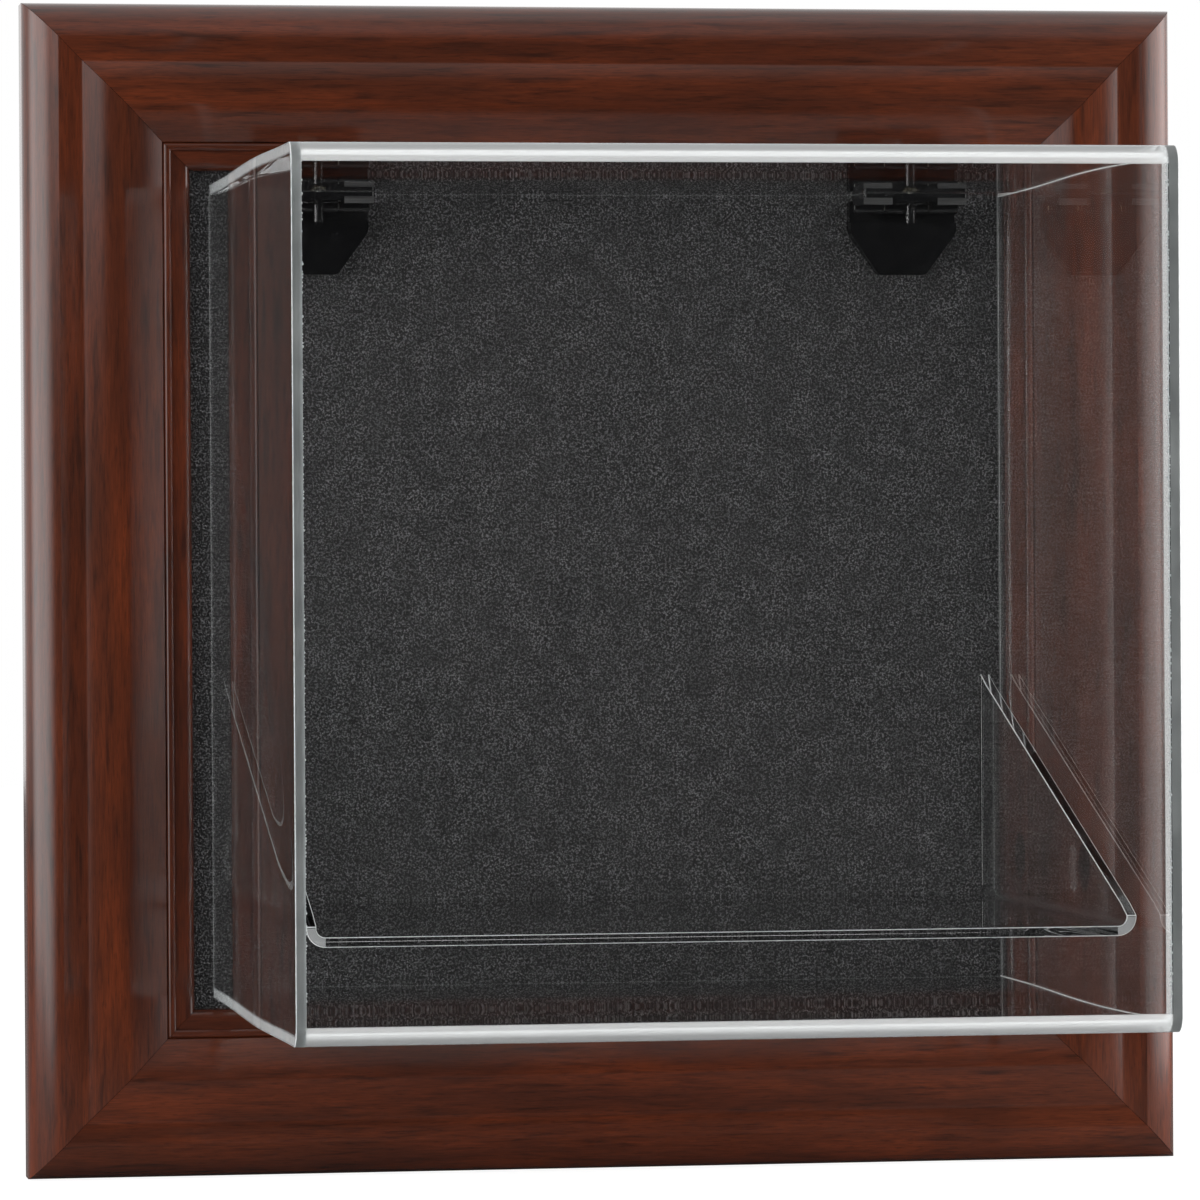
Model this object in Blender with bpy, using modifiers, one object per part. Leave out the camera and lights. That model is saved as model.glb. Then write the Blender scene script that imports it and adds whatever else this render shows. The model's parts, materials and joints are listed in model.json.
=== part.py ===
"""Wall display case: a mitred timber frame with a black back panel, and a clear folded cover that
swings up on two hinges and carries a clear cradle inside.

Units are metres. +Z is up, the front faces -Y, and the origin is the middle of the rear face,
which lies against the wall. A reach is measured forwards from the front of the back panel.
"""

from math import acos, asin, copysign, cos, degrees, pi, radians, sin, sqrt, tan

import bmesh
import bpy
from mathutils import Matrix, Vector

# Driving dimensions: general
CLEARANCE = 0.0003
CUTTER_OVERRUN = 0.001
SMOOTH_ANGLE = radians(35)
ROUND_STEPS = 20
SCREW_STEPS = 12

# Frame moulding: insets run inwards from the frame's outer edge, heights stand off the wall
FRAME_SIDE = 0.400
RAIL_WIDTH = 0.057
OUTER_SIDE_HEIGHT = 0.010
ROLL_REACH, ROLL_RISE, ROLL_END = 0.016, 0.012, 0.0118
QUIRK_INSET, QUIRK_HEIGHT = 0.0196, 0.0199
SWELL_INSET, SWELL_HEIGHT = 0.034, 0.0227
SLOPE_INSET, SLOPE_HEIGHT, SLOPE_POWER = 0.0472, 0.0166, 1.25
BEAD_INSET, BEAD_WIDTH, BEAD_BASE, BEAD_RISE = 0.0475, 0.0028, 0.0159, 0.0011
FLAT_HEIGHT = 0.0155
SIGHT_ROUND_WIDTH, SIGHT_ROUND_HEIGHT = 0.003, 0.0035
RABBET_INSET = 0.037
ROLL_STEPS, QUIRK_STEPS, SWELL_STEPS, SLOPE_STEPS, BEAD_STEPS, SIGHT_STEPS = 8, 3, 5, 6, 6, 5

# Back panel, flush with the rear of the frame, and the screws that hold it in the rabbet
PANEL_THICKNESS = 0.010
PANEL_EDGE_GAP = 0.0005
PANEL_SCREW_SPREAD, PANEL_SCREW_INSET = 0.090, 0.044

# Countersunk wood screws, all driven from the rear
WOOD_HEAD_RADIUS, WOOD_HEAD_RIM, WOOD_HEAD_DEPTH = 0.0030, 0.0004, 0.0022
WOOD_SHANK_RADIUS, WOOD_TIP, WOOD_RECESS = 0.0014, 0.003, 0.0002
PANEL_SCREW_LENGTH, HINGE_SCREW_LENGTH, HANGER_SCREW_LENGTH = 0.0160, 0.0150, 0.0130

# V nails driven across the mitres from the rear
NAIL_INSET, NAIL_LEG, NAIL_THICKNESS, NAIL_DEPTH = 0.019, 0.008, 0.0009, 0.009

# Keyhole hanger plates, let into the rear of the top rail over pockets for the wall screws' heads
HANGER_SPACING, HANGER_INSET = 0.254, 0.0185
HANGER_WIDTH, HANGER_HEIGHT, HANGER_THICKNESS, HANGER_CORNER = 0.038, 0.021, 0.0016, 0.004
KEYHOLE_RADIUS, KEYHOLE_SLOT_RADIUS, KEYHOLE_DROP, KEYHOLE_RISE = 0.0046, 0.0024, 0.0040, 0.0060
HANGER_SCREW_SPREAD = 0.0135
POCKET_WIDTH, POCKET_HEIGHT, POCKET_DEPTH, POCKET_CORNER = 0.0135, 0.0185, 0.010, 0.003

# Clear cover: top, front and bottom folded from one sheet, closed by two flat side panels
SHEET = 0.0032
COVER_WIDTH, COVER_HEIGHT, COVER_DEPTH = 0.278, 0.277, 0.250
COVER_CENTRE_X, COVER_BOTTOM = 0.0025, -0.139
BEND_RADIUS, BEND_STEPS = 0.006, 7
COVER_REAR_GAP = 0.001

# Hinges: one axis along X, in front of the panel and just under the cover's top
HINGE_CENTRE_X, HINGE_SPACING = 0.0016, 0.205
AXIS_REACH, SWING_GAP = 0.0105, 0.0004
KNUCKLE_RADIUS, KNUCKLE_GAP, PIN_RADIUS = 0.0022, 0.00035, 0.0010
HINGE_WIDTH, ARM_WIDTH, EAR_GAP = 0.036, 0.015, 0.0004
ARM_ROOT, ARM_HEEL, ARM_DROP = 0.003, 0.007, 0.0034
BASE_WIDTH, BASE_HEIGHT, BASE_SIDE, BASE_FOOT_WIDTH, BASE_RISE = 0.0371, 0.0255, 0.0112, 0.0165, 0.0026
BASE_TOP_CORNER, BASE_SHOULDER, BASE_FOOT_CORNER = 0.001, 0.005, 0.0025
BASE_UPPER, BASE_LEDGE, BASE_LOWER, BASE_LEDGE_DROP = 0.0045, 0.0076, 0.0042, 0.0050
BASE_SCREW_SPREAD, BASE_SCREW_DROP = 0.011, 0.0098
LEAF_THICKNESS, LEAF_REACH, LEAF_CORNER, LEAF_NOTCH_REACH = 0.0014, 0.028, 0.001, 0.0135
LEAF_OVERHANG = 0.0003
CHEEK_HEIGHT, HUB_HEIGHT, HUB_REACH = 0.0037, 0.0027, 0.0265
BOSS_REACH, BOSS_RADIUS, BOSS_LENGTH = 0.0183, 0.0018, 0.0083
COVER_NOTCH_WIDTH, COVER_NOTCH_REACH = 0.041, 0.012
LEAF_HEAD_RADIUS, LEAF_HEAD_HEIGHT = 0.003, 0.0012
LEAF_HEAD_CROWN_RADIUS, LEAF_HEAD_CROWN_HEIGHT, LEAF_HEAD_SIDE = 0.0021, 0.00102, 0.00036
LEAF_SHANK_RADIUS, LEAF_SHANK_LENGTH = 0.0008, 0.011

# Cradle: a folded shelf between two triangular wings, carried by pads on the cover's sides
CRADLE_WIDTH, CRADLE_DEPTH, CRADLE_REAR_GAP = 0.264, 0.217, 0.0015
SHELF_TOP, WING_RISE, WING_FRONT_RISE = -0.107, 0.076, 0.004
PAD_RADIUS, PAD_THICKNESS = 0.008, 0.0032
PAD_REACHES, PAD_Z = (0.045, 0.140), -0.092

# Worked-out places
FRAME_HALF = FRAME_SIDE / 2
PANEL_FRONT = -PANEL_THICKNESS
PANEL_SIDE = FRAME_SIDE - 2 * (RABBET_INSET + PANEL_EDGE_GAP)
COVER_TOP = COVER_BOTTOM + COVER_HEIGHT
COVER_FRONT = PANEL_FRONT - COVER_DEPTH
COVER_REAR = PANEL_FRONT - COVER_REAR_GAP
LEAF_TOP = COVER_TOP - SHEET - CLEARANCE
LEAF_UNDER = LEAF_TOP - LEAF_THICKNESS
AXIS_Y = PANEL_FRONT - AXIS_REACH
AXIS_Z = LEAF_UNDER - KNUCKLE_GAP - KNUCKLE_RADIUS
SWING_RADIUS = AXIS_REACH - SWING_GAP
COVER_TOP_REAR = AXIS_Y + sqrt(SWING_RADIUS**2 - (COVER_TOP - AXIS_Z) ** 2)
BORE_RADIUS = PIN_RADIUS + CLEARANCE
SIDES = ("top", "right", "bottom", "left")
HANDS = {"left": -1, "right": 1}

# Turns for a flat outline: it lies level, stands facing the front, or stands facing the side
LEVEL = Matrix.Identity(4)
UPRIGHT = Matrix.Rotation(pi / 2, 4, "X")
SIDEWAYS = Matrix(((0, 0, 1, 0), (1, 0, 0, 0), (0, 1, 0, 0), (0, 0, 0, 1)))
# Turn for a screw, so that its head faces the wall
REARWARDS = Matrix.Rotation(-pi / 2, 4, "X")


def clear_scene():
    """Removes what the file opened with."""
    for obj in list(bpy.data.objects):
        bpy.data.objects.remove(obj)


def new_collection(name):
    """An empty collection in the scene."""
    collection = bpy.data.collections.new(name)
    bpy.context.scene.collection.children.link(collection)
    return collection


def finish(name, colour, roughness, metallic=0.0, clear=0.0):
    """A Principled material; clear runs from opaque at 0 to transparent at 1."""
    material = bpy.data.materials.new(name)
    material.use_nodes = True
    shader = material.node_tree.nodes["Principled BSDF"]
    shader.inputs["Base Color"].default_value = (*colour, 1)
    shader.inputs["Roughness"].default_value = roughness
    shader.inputs["Metallic"].default_value = metallic
    shader.inputs["Transmission Weight"].default_value = clear
    shader.inputs["IOR"].default_value = 1.49
    return material


clear_scene()
PARTS = new_collection("wall_display_case")
TOOLS = new_collection("cutters")
WOOD = finish("stained_wood", (0.105, 0.030, 0.015), 0.32)
BOARD = finish("black_textured_board", (0.012, 0.012, 0.013), 0.55)
ACRYLIC = finish("clear_acrylic", (0.96, 0.98, 0.98), 0.02, clear=1.0)
BLACK = finish("black_plastic", (0.010, 0.010, 0.010), 0.22)
STEEL = finish("zinc_steel", (0.55, 0.55, 0.53), 0.35, metallic=1.0)


def at(x, y, z):
    """A matrix that only moves."""
    return Matrix.Translation((x, y, z))


def side_turn(index):
    """The turn from the top rail to one of the four sides, clockwise from the front."""
    return Matrix.Rotation(index * pi / 2, 4, "Y")


def arc(centre, radius_x, radius_y, start, end, steps):
    """Points on an elliptical arc between two angles in degrees, both ends included."""
    angles = [radians(start + (end - start) * i / steps) for i in range(steps + 1)]
    return [(centre[0] + radius_x * cos(a), centre[1] + radius_y * sin(a)) for a in angles]


def bowl(crest, foot, steps):
    """Points on a parabola that leaves its crest level and steepens to its foot, without the crest."""
    run, fall = foot[0] - crest[0], foot[1] - crest[1]
    shares = [i / steps for i in range(1, steps + 1)]
    return [(crest[0] + run * t, crest[1] + fall * t * t) for t in shares]


def circle(centre, radius, steps=ROUND_STEPS):
    """A closed round outline."""
    return arc(centre, radius, radius, 0, 360, steps)[:-1]


def rectangle(width, height, centre=(0, 0)):
    """The corners of a rectangle."""
    signs = ((-1, -1), (1, -1), (1, 1), (-1, 1))
    return [(centre[0] + sx * width / 2, centre[1] + sy * height / 2) for sx, sy in signs]


def rounded(corners, radii, steps=4):
    """An outline through the corners, each turned into an arc of its radius; 0 keeps it sharp."""
    points = []
    for i, (corner, radius) in enumerate(zip(corners, radii)):
        here = Vector(corner)
        if radius == 0:
            points.append(tuple(here))
            continue
        back = (Vector(corners[i - 1]) - here).normalized()
        ahead = (Vector(corners[(i + 1) % len(corners)]) - here).normalized()
        half = back.angle(ahead) / 2
        middle = here + (back + ahead).normalized() * (radius / sin(half))
        first = (here + back * (radius / tan(half)) - middle).normalized()
        last = (here + ahead * (radius / tan(half)) - middle).normalized()
        points += [tuple(middle + radius * first.slerp(last, k / steps)) for k in range(steps + 1)]
    return points


def evaluated_mesh(obj):
    """The object's finished mesh, welded, facing out and smooth where it is round."""
    bpy.context.scene.collection.objects.link(obj)
    graph = bpy.context.evaluated_depsgraph_get()
    mesh = bpy.data.meshes.new_from_object(obj.evaluated_get(graph))
    bpy.data.objects.remove(obj)
    shape = bmesh.new()
    shape.from_mesh(mesh)
    bmesh.ops.remove_doubles(shape, verts=shape.verts, dist=1e-6)
    bmesh.ops.recalc_face_normals(shape, faces=shape.faces)
    shape.to_mesh(mesh)
    shape.free()
    mesh.shade_smooth()
    mesh.set_sharp_from_angle(angle=SMOOTH_ANGLE)
    return mesh


def prism(outlines, thickness):
    """Flat outlines, the inner ones holes, thickened evenly to both sides of their plane."""
    curve = bpy.data.curves.new("outline", "CURVE")
    curve.dimensions = "2D"
    curve.fill_mode = "BOTH"
    curve.extrude = thickness / 2
    for outline in outlines:
        spline = curve.splines.new("POLY")
        spline.points.add(len(outline) - 1)
        for point, place_in_plane in zip(spline.points, outline):
            point.co = (*place_in_plane, 0, 1)
        spline.use_cyclic_u = True
    return evaluated_mesh(bpy.data.objects.new("outline", curve))


def turned(profile, steps=SCREW_STEPS):
    """A profile of radii and heights, from the top of its axis to the bottom, turned about Z."""
    mesh = bpy.data.meshes.new("profile")
    edges = [(i, i + 1) for i in range(len(profile) - 1)]
    mesh.from_pydata([(radius, 0, z) for radius, z in profile], edges, [])
    obj = bpy.data.objects.new("profile", mesh)
    screw = obj.modifiers.new("Turn", "SCREW")
    screw.steps = screw.render_steps = steps
    screw.use_merge_vertices = True
    screw.merge_threshold = 1e-5
    return evaluated_mesh(obj)


def folded_strip(path, width):
    """An open strip along a path that is the outer side of a folded sheet."""
    mesh = bpy.data.meshes.new("strip")
    rows = [(p, q, side * width / 2) for p, q in path for side in (-1, 1)]
    faces = [(2 * i, 2 * i + 2, 2 * i + 3, 2 * i + 1) for i in range(len(path) - 1)]
    mesh.from_pydata(rows, [], faces)
    return mesh


def part(name, mesh, material, matrix=LEVEL, axis=None):
    """A piece of the case. One that moves is a child of the empty on the hinge axis."""
    piece = bpy.data.objects.new(name, mesh)
    if not mesh.materials:
        mesh.materials.append(material)
    if axis:
        piece.parent = axis
        piece.matrix_parent_inverse = Matrix.Translation(-axis.location)
    piece.matrix_basis = matrix
    PARTS.objects.link(piece)
    return piece


def tool(name, mesh, matrix=LEVEL):
    """A helper shape that only cuts or joins pieces."""
    helper = bpy.data.objects.new(name, mesh)
    helper.matrix_basis = matrix
    helper.hide_render = True
    helper.display_type = "WIRE"
    TOOLS.objects.link(helper)
    return helper


def combine(piece, helper, operation="DIFFERENCE"):
    """Cuts the helper out of a piece, or joins it on."""
    boolean = piece.modifiers.new(helper.name, "BOOLEAN")
    boolean.operation = operation
    boolean.solver = "EXACT"
    boolean.object = helper


def give_thickness(piece):
    """Thickens an open strip into a sheet, inwards from its outer side."""
    solidify = piece.modifiers.new("Sheet", "SOLIDIFY")
    solidify.thickness = SHEET
    solidify.offset = -1
    solidify.use_even_offset = True


def wood_screw(length, grow=0.0, lead=0.0):
    """A countersunk screw along -Z with its head's face at 0; grow and lead make its hole."""
    return turned([
        (0, lead),
        (WOOD_HEAD_RADIUS + grow, lead),
        (WOOD_HEAD_RADIUS + grow, -WOOD_HEAD_RIM),
        (WOOD_SHANK_RADIUS + grow, -WOOD_HEAD_DEPTH),
        (WOOD_SHANK_RADIUS + grow, WOOD_TIP - length),
        (0, -length - grow),
    ])


def drive_screws(length, places, pieces):
    """Wood screws at named places, each in a hole through the pieces that it holds."""
    mesh = wood_screw(length)
    hole = wood_screw(length, grow=CLEARANCE, lead=CUTTER_OVERRUN)
    for name, matrix in places.items():
        part(name, mesh, STEEL, matrix @ at(0, -WOOD_RECESS, 0) @ REARWARDS)
        cutter = tool(f"{name}_hole", hole, matrix @ at(0, -WOOD_RECESS, 0) @ REARWARDS)
        for piece in pieces(name):
            combine(piece, cutter)


def moulding_section():
    """Section of a rail, square to its length, as depth and height in the top rail's place."""
    outer, quirk, swell = (0, 0), (QUIRK_INSET, QUIRK_HEIGHT), (SWELL_INSET, SWELL_HEIGHT)
    last = 180 - degrees(acos(1 - ROLL_END / ROLL_REACH))
    roll = arc((ROLL_REACH, OUTER_SIDE_HEIGHT), ROLL_REACH, ROLL_RISE, 180, last, ROLL_STEPS)
    hollow = bowl(quirk, roll[-1], QUIRK_STEPS)[-2::-1] + [quirk]
    crown = bowl(swell, quirk, SWELL_STEPS)[-2::-1] + [swell]
    run, fall = SLOPE_INSET - SWELL_INSET, SWELL_HEIGHT - SLOPE_HEIGHT
    shares = [i / SLOPE_STEPS for i in range(1, SLOPE_STEPS + 1)]
    slope = [(SWELL_INSET + run * t, SWELL_HEIGHT - fall * t**SLOPE_POWER) for t in shares]
    bead = arc((BEAD_INSET + BEAD_WIDTH / 2, BEAD_BASE), BEAD_WIDTH / 2, BEAD_RISE, 180, 0, BEAD_STEPS)
    bead_foot = (BEAD_INSET + BEAD_WIDTH, FLAT_HEIGHT)
    sight_centre = (RAIL_WIDTH - SIGHT_ROUND_WIDTH, FLAT_HEIGHT - SIGHT_ROUND_HEIGHT)
    sight = arc(sight_centre, SIGHT_ROUND_WIDTH, SIGHT_ROUND_HEIGHT, 90, 0, SIGHT_STEPS)
    ceiling = PANEL_THICKNESS + CLEARANCE
    rabbet = [(RAIL_WIDTH, ceiling), (RABBET_INSET, ceiling), (RABBET_INSET, 0)]
    section = [outer] + roll + hollow + crown + slope + bead + [bead_foot] + sight + rabbet
    return [(-height, FRAME_HALF - inset) for inset, height in section]


def make_rails():
    """Four lengths of moulding, mitred at both ends, in the order of SIDES."""
    mesh = prism([moulding_section()], FRAME_SIDE)
    for vertex in mesh.vertices:
        mitre = vertex.co.y - CLEARANCE / sqrt(2)
        vertex.co.z = copysign(mitre, vertex.co.z)
    turns = [side_turn(i) @ SIDEWAYS for i in range(len(SIDES))]
    return [part(f"rail_{side}", mesh.copy(), WOOD, turn) for side, turn in zip(SIDES, turns)]


def make_mitre_nails(rails):
    """A V nail across each mitre, with one leg in either rail."""
    def legs(grow):
        near, far, inner = grow, -NAIL_LEG - grow, -NAIL_THICKNESS - grow
        return [(near, near), (far, near), (far, inner), (inner, inner), (inner, far), (near, far)]

    corner = FRAME_HALF - NAIL_INSET
    mesh = prism([legs(0)], NAIL_DEPTH)
    slot = prism([legs(CLEARANCE)], NAIL_DEPTH + 4 * CLEARANCE)
    for i in range(len(SIDES)):
        name = f"mitre_nail_{i + 1}"
        matrix = side_turn(i) @ at(corner, -CLEARANCE - NAIL_DEPTH / 2, corner) @ UPRIGHT
        part(name, mesh, STEEL, matrix)
        cutter = tool(f"{name}_slot", slot, matrix)
        combine(rails[i], cutter)
        combine(rails[(i + 1) % len(rails)], cutter)


def make_panel(rails):
    """The back panel, and two screws into each rail."""
    mesh = prism([rectangle(PANEL_SIDE, PANEL_SIDE)], PANEL_THICKNESS)
    panel = part("back_panel", mesh, BOARD, at(0, -PANEL_THICKNESS / 2, 0) @ UPRIGHT)
    places, owner = {}, {}
    row = FRAME_HALF - PANEL_SCREW_INSET
    for i, rail in enumerate(rails):
        for sign in (-1, 1):
            name = f"panel_screw_{len(places) + 1}"
            places[name] = side_turn(i) @ at(sign * PANEL_SCREW_SPREAD, 0, row)
            owner[name] = rail
    drive_screws(PANEL_SCREW_LENGTH, places, lambda name: (panel, owner[name]))
    return panel


def keyhole():
    """A round hole with a narrower slot rising from it."""
    end, hole = (0, KEYHOLE_RISE), (0, -KEYHOLE_DROP)
    mouth = degrees(asin(KEYHOLE_SLOT_RADIUS / KEYHOLE_RADIUS))
    slot_end = arc(end, KEYHOLE_SLOT_RADIUS, KEYHOLE_SLOT_RADIUS, 0, 180, SCREW_STEPS)
    return slot_end + arc(hole, KEYHOLE_RADIUS, KEYHOLE_RADIUS, 90 + mouth, 450 - mouth, ROUND_STEPS)


def make_hangers(top_rail):
    """Two keyhole plates let into the rear of the top rail, two screws in each."""
    def plate(grow):
        corners = rectangle(HANGER_WIDTH + 2 * grow, HANGER_HEIGHT + 2 * grow)
        return rounded(corners, [HANGER_CORNER] * len(corners))

    mesh = prism([plate(0), keyhole()], HANGER_THICKNESS)
    mortise = prism([plate(CLEARANCE)], 2 * (HANGER_THICKNESS + WOOD_RECESS + CLEARANCE))
    pocket_corners = rectangle(POCKET_WIDTH, POCKET_HEIGHT)
    pocket = prism([rounded(pocket_corners, [POCKET_CORNER] * len(pocket_corners))], 2 * POCKET_DEPTH)
    for hand, sign in HANDS.items():
        spot = at(sign * HANGER_SPACING / 2, 0, FRAME_HALF - HANGER_INSET)
        sunk = at(0, -WOOD_RECESS - HANGER_THICKNESS / 2, 0)
        hanger = part(f"hanger_plate_{hand}", mesh.copy(), STEEL, spot @ sunk @ UPRIGHT)
        combine(top_rail, tool(f"hanger_mortise_{hand}", mortise, spot @ UPRIGHT))
        combine(top_rail, tool(f"hanger_pocket_{hand}", pocket, spot @ UPRIGHT))
        places = {
            f"hanger_screw_{hand}_{i + 1}": spot @ at(side * HANGER_SCREW_SPREAD, 0, 0)
            for i, side in enumerate((-1, 1))
        }
        drive_screws(HANGER_SCREW_LENGTH, places, lambda name: (hanger, top_rail))


def make_axis():
    """The empty on the hinge axis that carries everything that swings."""
    axis = bpy.data.objects.new("cover_axis", None)
    axis.location = (0, AXIS_Y, AXIS_Z)
    PARTS.objects.link(axis)
    return axis


def make_cover(axis):
    """The folded sheet and its two side panels."""
    corners = [
        (COVER_TOP_REAR, COVER_TOP),
        (COVER_FRONT, COVER_TOP),
        (COVER_FRONT, COVER_BOTTOM),
        (COVER_REAR, COVER_BOTTOM),
    ]
    path = rounded(corners, [0, BEND_RADIUS, BEND_RADIUS, 0], BEND_STEPS)
    strip = folded_strip(path, COVER_WIDTH - 2 * (SHEET + CLEARANCE))
    wrap = part("cover_wrap", strip, ACRYLIC, at(COVER_CENTRE_X, 0, 0) @ SIDEWAYS, axis)
    give_thickness(wrap)

    # The rear top corner of a side panel is rounded about the hinge axis, so that it swings clear
    low_angle = degrees(acos((COVER_REAR - AXIS_Y) / SWING_RADIUS))
    high_angle = degrees(asin((COVER_TOP - AXIS_Z) / SWING_RADIUS))
    relief = arc((AXIS_Y, AXIS_Z), SWING_RADIUS, SWING_RADIUS, low_angle, high_angle, BEND_STEPS)
    radii = [BEND_RADIUS, BEND_RADIUS, 0] + [0] * len(relief)
    mesh = prism([rounded(corners[1:] + relief, radii, BEND_STEPS)], SHEET)
    for hand, sign in HANDS.items():
        x = COVER_CENTRE_X + sign * (COVER_WIDTH - SHEET) / 2
        part(f"cover_side_{hand}", mesh, ACRYLIC, at(x, 0, 0) @ SIDEWAYS, axis)
    return wrap


def make_hinge_base(hand, centre, panel, pin_bore):
    """A shield-shaped bracket on the panel: a wedge under the axis and an arm to the middle knuckle."""
    def ahead(reach, rise):
        return (PANEL_FRONT - reach, AXIS_Z + rise)

    foot = BASE_RISE - BASE_HEIGHT
    wedge = [
        ahead(CLEARANCE, BASE_RISE + CUTTER_OVERRUN),
        ahead(BASE_UPPER, BASE_RISE + CUTTER_OVERRUN),
        ahead(BASE_UPPER, -BASE_LEDGE_DROP),
        ahead(BASE_LEDGE, -BASE_LEDGE_DROP),
        ahead(BASE_LOWER, foot - CUTTER_OVERRUN),
        ahead(CLEARANCE, foot - CUTTER_OVERRUN),
    ]
    corners = [
        (BASE_WIDTH / 2, BASE_RISE),
        (-BASE_WIDTH / 2, BASE_RISE),
        (-BASE_WIDTH / 2, BASE_RISE - BASE_SIDE),
        (-BASE_FOOT_WIDTH / 2, foot),
        (BASE_FOOT_WIDTH / 2, foot),
        (BASE_WIDTH / 2, BASE_RISE - BASE_SIDE),
    ]
    radii = [BASE_TOP_CORNER] * 2 + [BASE_SHOULDER] + [BASE_FOOT_CORNER] * 2 + [BASE_SHOULDER]
    knuckle = arc((AXIS_Y, AXIS_Z), KNUCKLE_RADIUS, KNUCKLE_RADIUS, 90, 270, SCREW_STEPS)
    heel = [ahead(ARM_HEEL, -ARM_DROP), ahead(ARM_ROOT, -ARM_DROP)]
    arm = prism([[ahead(ARM_ROOT, KNUCKLE_RADIUS)] + knuckle + heel], ARM_WIDTH)
    shield = prism([rounded(corners, radii)], 4 * AXIS_REACH)

    spot = at(centre, 0, 0) @ SIDEWAYS
    facing = at(centre, AXIS_Y, AXIS_Z) @ UPRIGHT
    base = part(f"hinge_base_{hand}", prism([wedge], 2 * BASE_WIDTH), BLACK, spot)
    combine(base, tool(f"hinge_shield_{hand}", shield, facing), "INTERSECT")
    combine(base, tool(f"hinge_arm_{hand}", arm, spot), "UNION")
    combine(base, pin_bore)
    places = {
        f"hinge_screw_{hand}_{i + 1}": at(centre + side * BASE_SCREW_SPREAD, 0, AXIS_Z - BASE_SCREW_DROP)
        for i, side in enumerate((-1, 1))
    }
    drive_screws(HINGE_SCREW_LENGTH, places, lambda name: (panel, base))


def make_hinge_leaf(hand, centre, wrap, axis, pin_bore):
    """A plate under the cover's top with two ears on the pin, thick cheeks and a boss for its screw."""
    half, ear_inner = HINGE_WIDTH / 2, ARM_WIDTH / 2 + EAR_GAP
    rear = AXIS_REACH - KNUCKLE_RADIUS + LEAF_OVERHANG
    side = half + LEAF_OVERHANG
    corners = [
        (-side, -rear),
        (-side, -LEAF_REACH),
        (side, -LEAF_REACH),
        (side, -rear),
        (ear_inner, -rear),
        (ear_inner, -LEAF_NOTCH_REACH),
        (-ear_inner, -LEAF_NOTCH_REACH),
        (-ear_inner, -rear),
    ]
    plate = prism([rounded(corners, [0, LEAF_CORNER, LEAF_CORNER] + [0] * 5)], LEAF_THICKNESS)
    middle = (LEAF_TOP + LEAF_UNDER) / 2
    leaf = part(f"hinge_leaf_{hand}", plate, BLACK, at(centre, PANEL_FRONT, middle), axis)

    under = arc((AXIS_Y, AXIS_Z), KNUCKLE_RADIUS, KNUCKLE_RADIUS, 0, -180, SCREW_STEPS)
    root = [(AXIS_Y - KNUCKLE_RADIUS, middle), (AXIS_Y + KNUCKLE_RADIUS, middle)]
    ear = prism([under + root], half - ear_inner)
    for ear_side, sign in HANDS.items():
        x = centre + sign * (half + ear_inner) / 2
        combine(leaf, tool(f"hinge_ear_{hand}_{ear_side}", ear, at(x, 0, 0) @ SIDEWAYS), "UNION")

    def block(name, width, height, reach, rear_reach, x):
        spot = at(x, PANEL_FRONT - (reach + rear_reach) / 2, LEAF_TOP - height / 2)
        mesh = prism([rectangle(width, reach - rear_reach)], height)
        combine(leaf, tool(f"hinge_{name}_{hand}", mesh, spot), "UNION")

    block("hub", 2 * ear_inner + EAR_GAP, HUB_HEIGHT, HUB_REACH, LEAF_NOTCH_REACH, centre)
    for cheek_side, sign in HANDS.items():
        x = centre + sign * (half + ear_inner) / 2
        block(f"cheek_{cheek_side}", half - ear_inner, CHEEK_HEIGHT, LEAF_REACH - LEAF_CORNER, AXIS_REACH, x)

    boss_length = BOSS_LENGTH + LEAF_THICKNESS / 2
    boss = prism([circle((0, 0), BOSS_RADIUS)], boss_length)
    screw_y = PANEL_FRONT - BOSS_REACH
    boss_spot = at(centre, screw_y, middle - boss_length / 2)
    combine(leaf, tool(f"hinge_boss_{hand}", boss, boss_spot), "UNION")
    combine(leaf, pin_bore)

    seat = COVER_TOP + CLEARANCE
    screw = turned([
        (0, LEAF_HEAD_HEIGHT),
        (LEAF_HEAD_CROWN_RADIUS, LEAF_HEAD_CROWN_HEIGHT),
        (LEAF_HEAD_RADIUS, LEAF_HEAD_SIDE),
        (LEAF_HEAD_RADIUS, 0),
        (LEAF_SHANK_RADIUS, 0),
        (LEAF_SHANK_RADIUS, -LEAF_SHANK_LENGTH),
        (0, -LEAF_SHANK_LENGTH),
    ])
    part(f"leaf_screw_{hand}", screw, STEEL, at(centre, screw_y, seat), axis)
    hole_outline = circle((0, 0), LEAF_SHANK_RADIUS + CLEARANCE)
    hole = prism([hole_outline], 2 * (LEAF_SHANK_LENGTH + CLEARANCE))
    cutter = tool(f"leaf_screw_hole_{hand}", hole, at(centre, screw_y, seat))
    notch = prism([rectangle(COVER_NOTCH_WIDTH, 2 * COVER_NOTCH_REACH)], 4 * SHEET)
    combine(leaf, cutter)
    combine(wrap, tool(f"cover_notch_{hand}", notch, at(centre, PANEL_FRONT, COVER_TOP)))
    combine(wrap, cutter)


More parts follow.
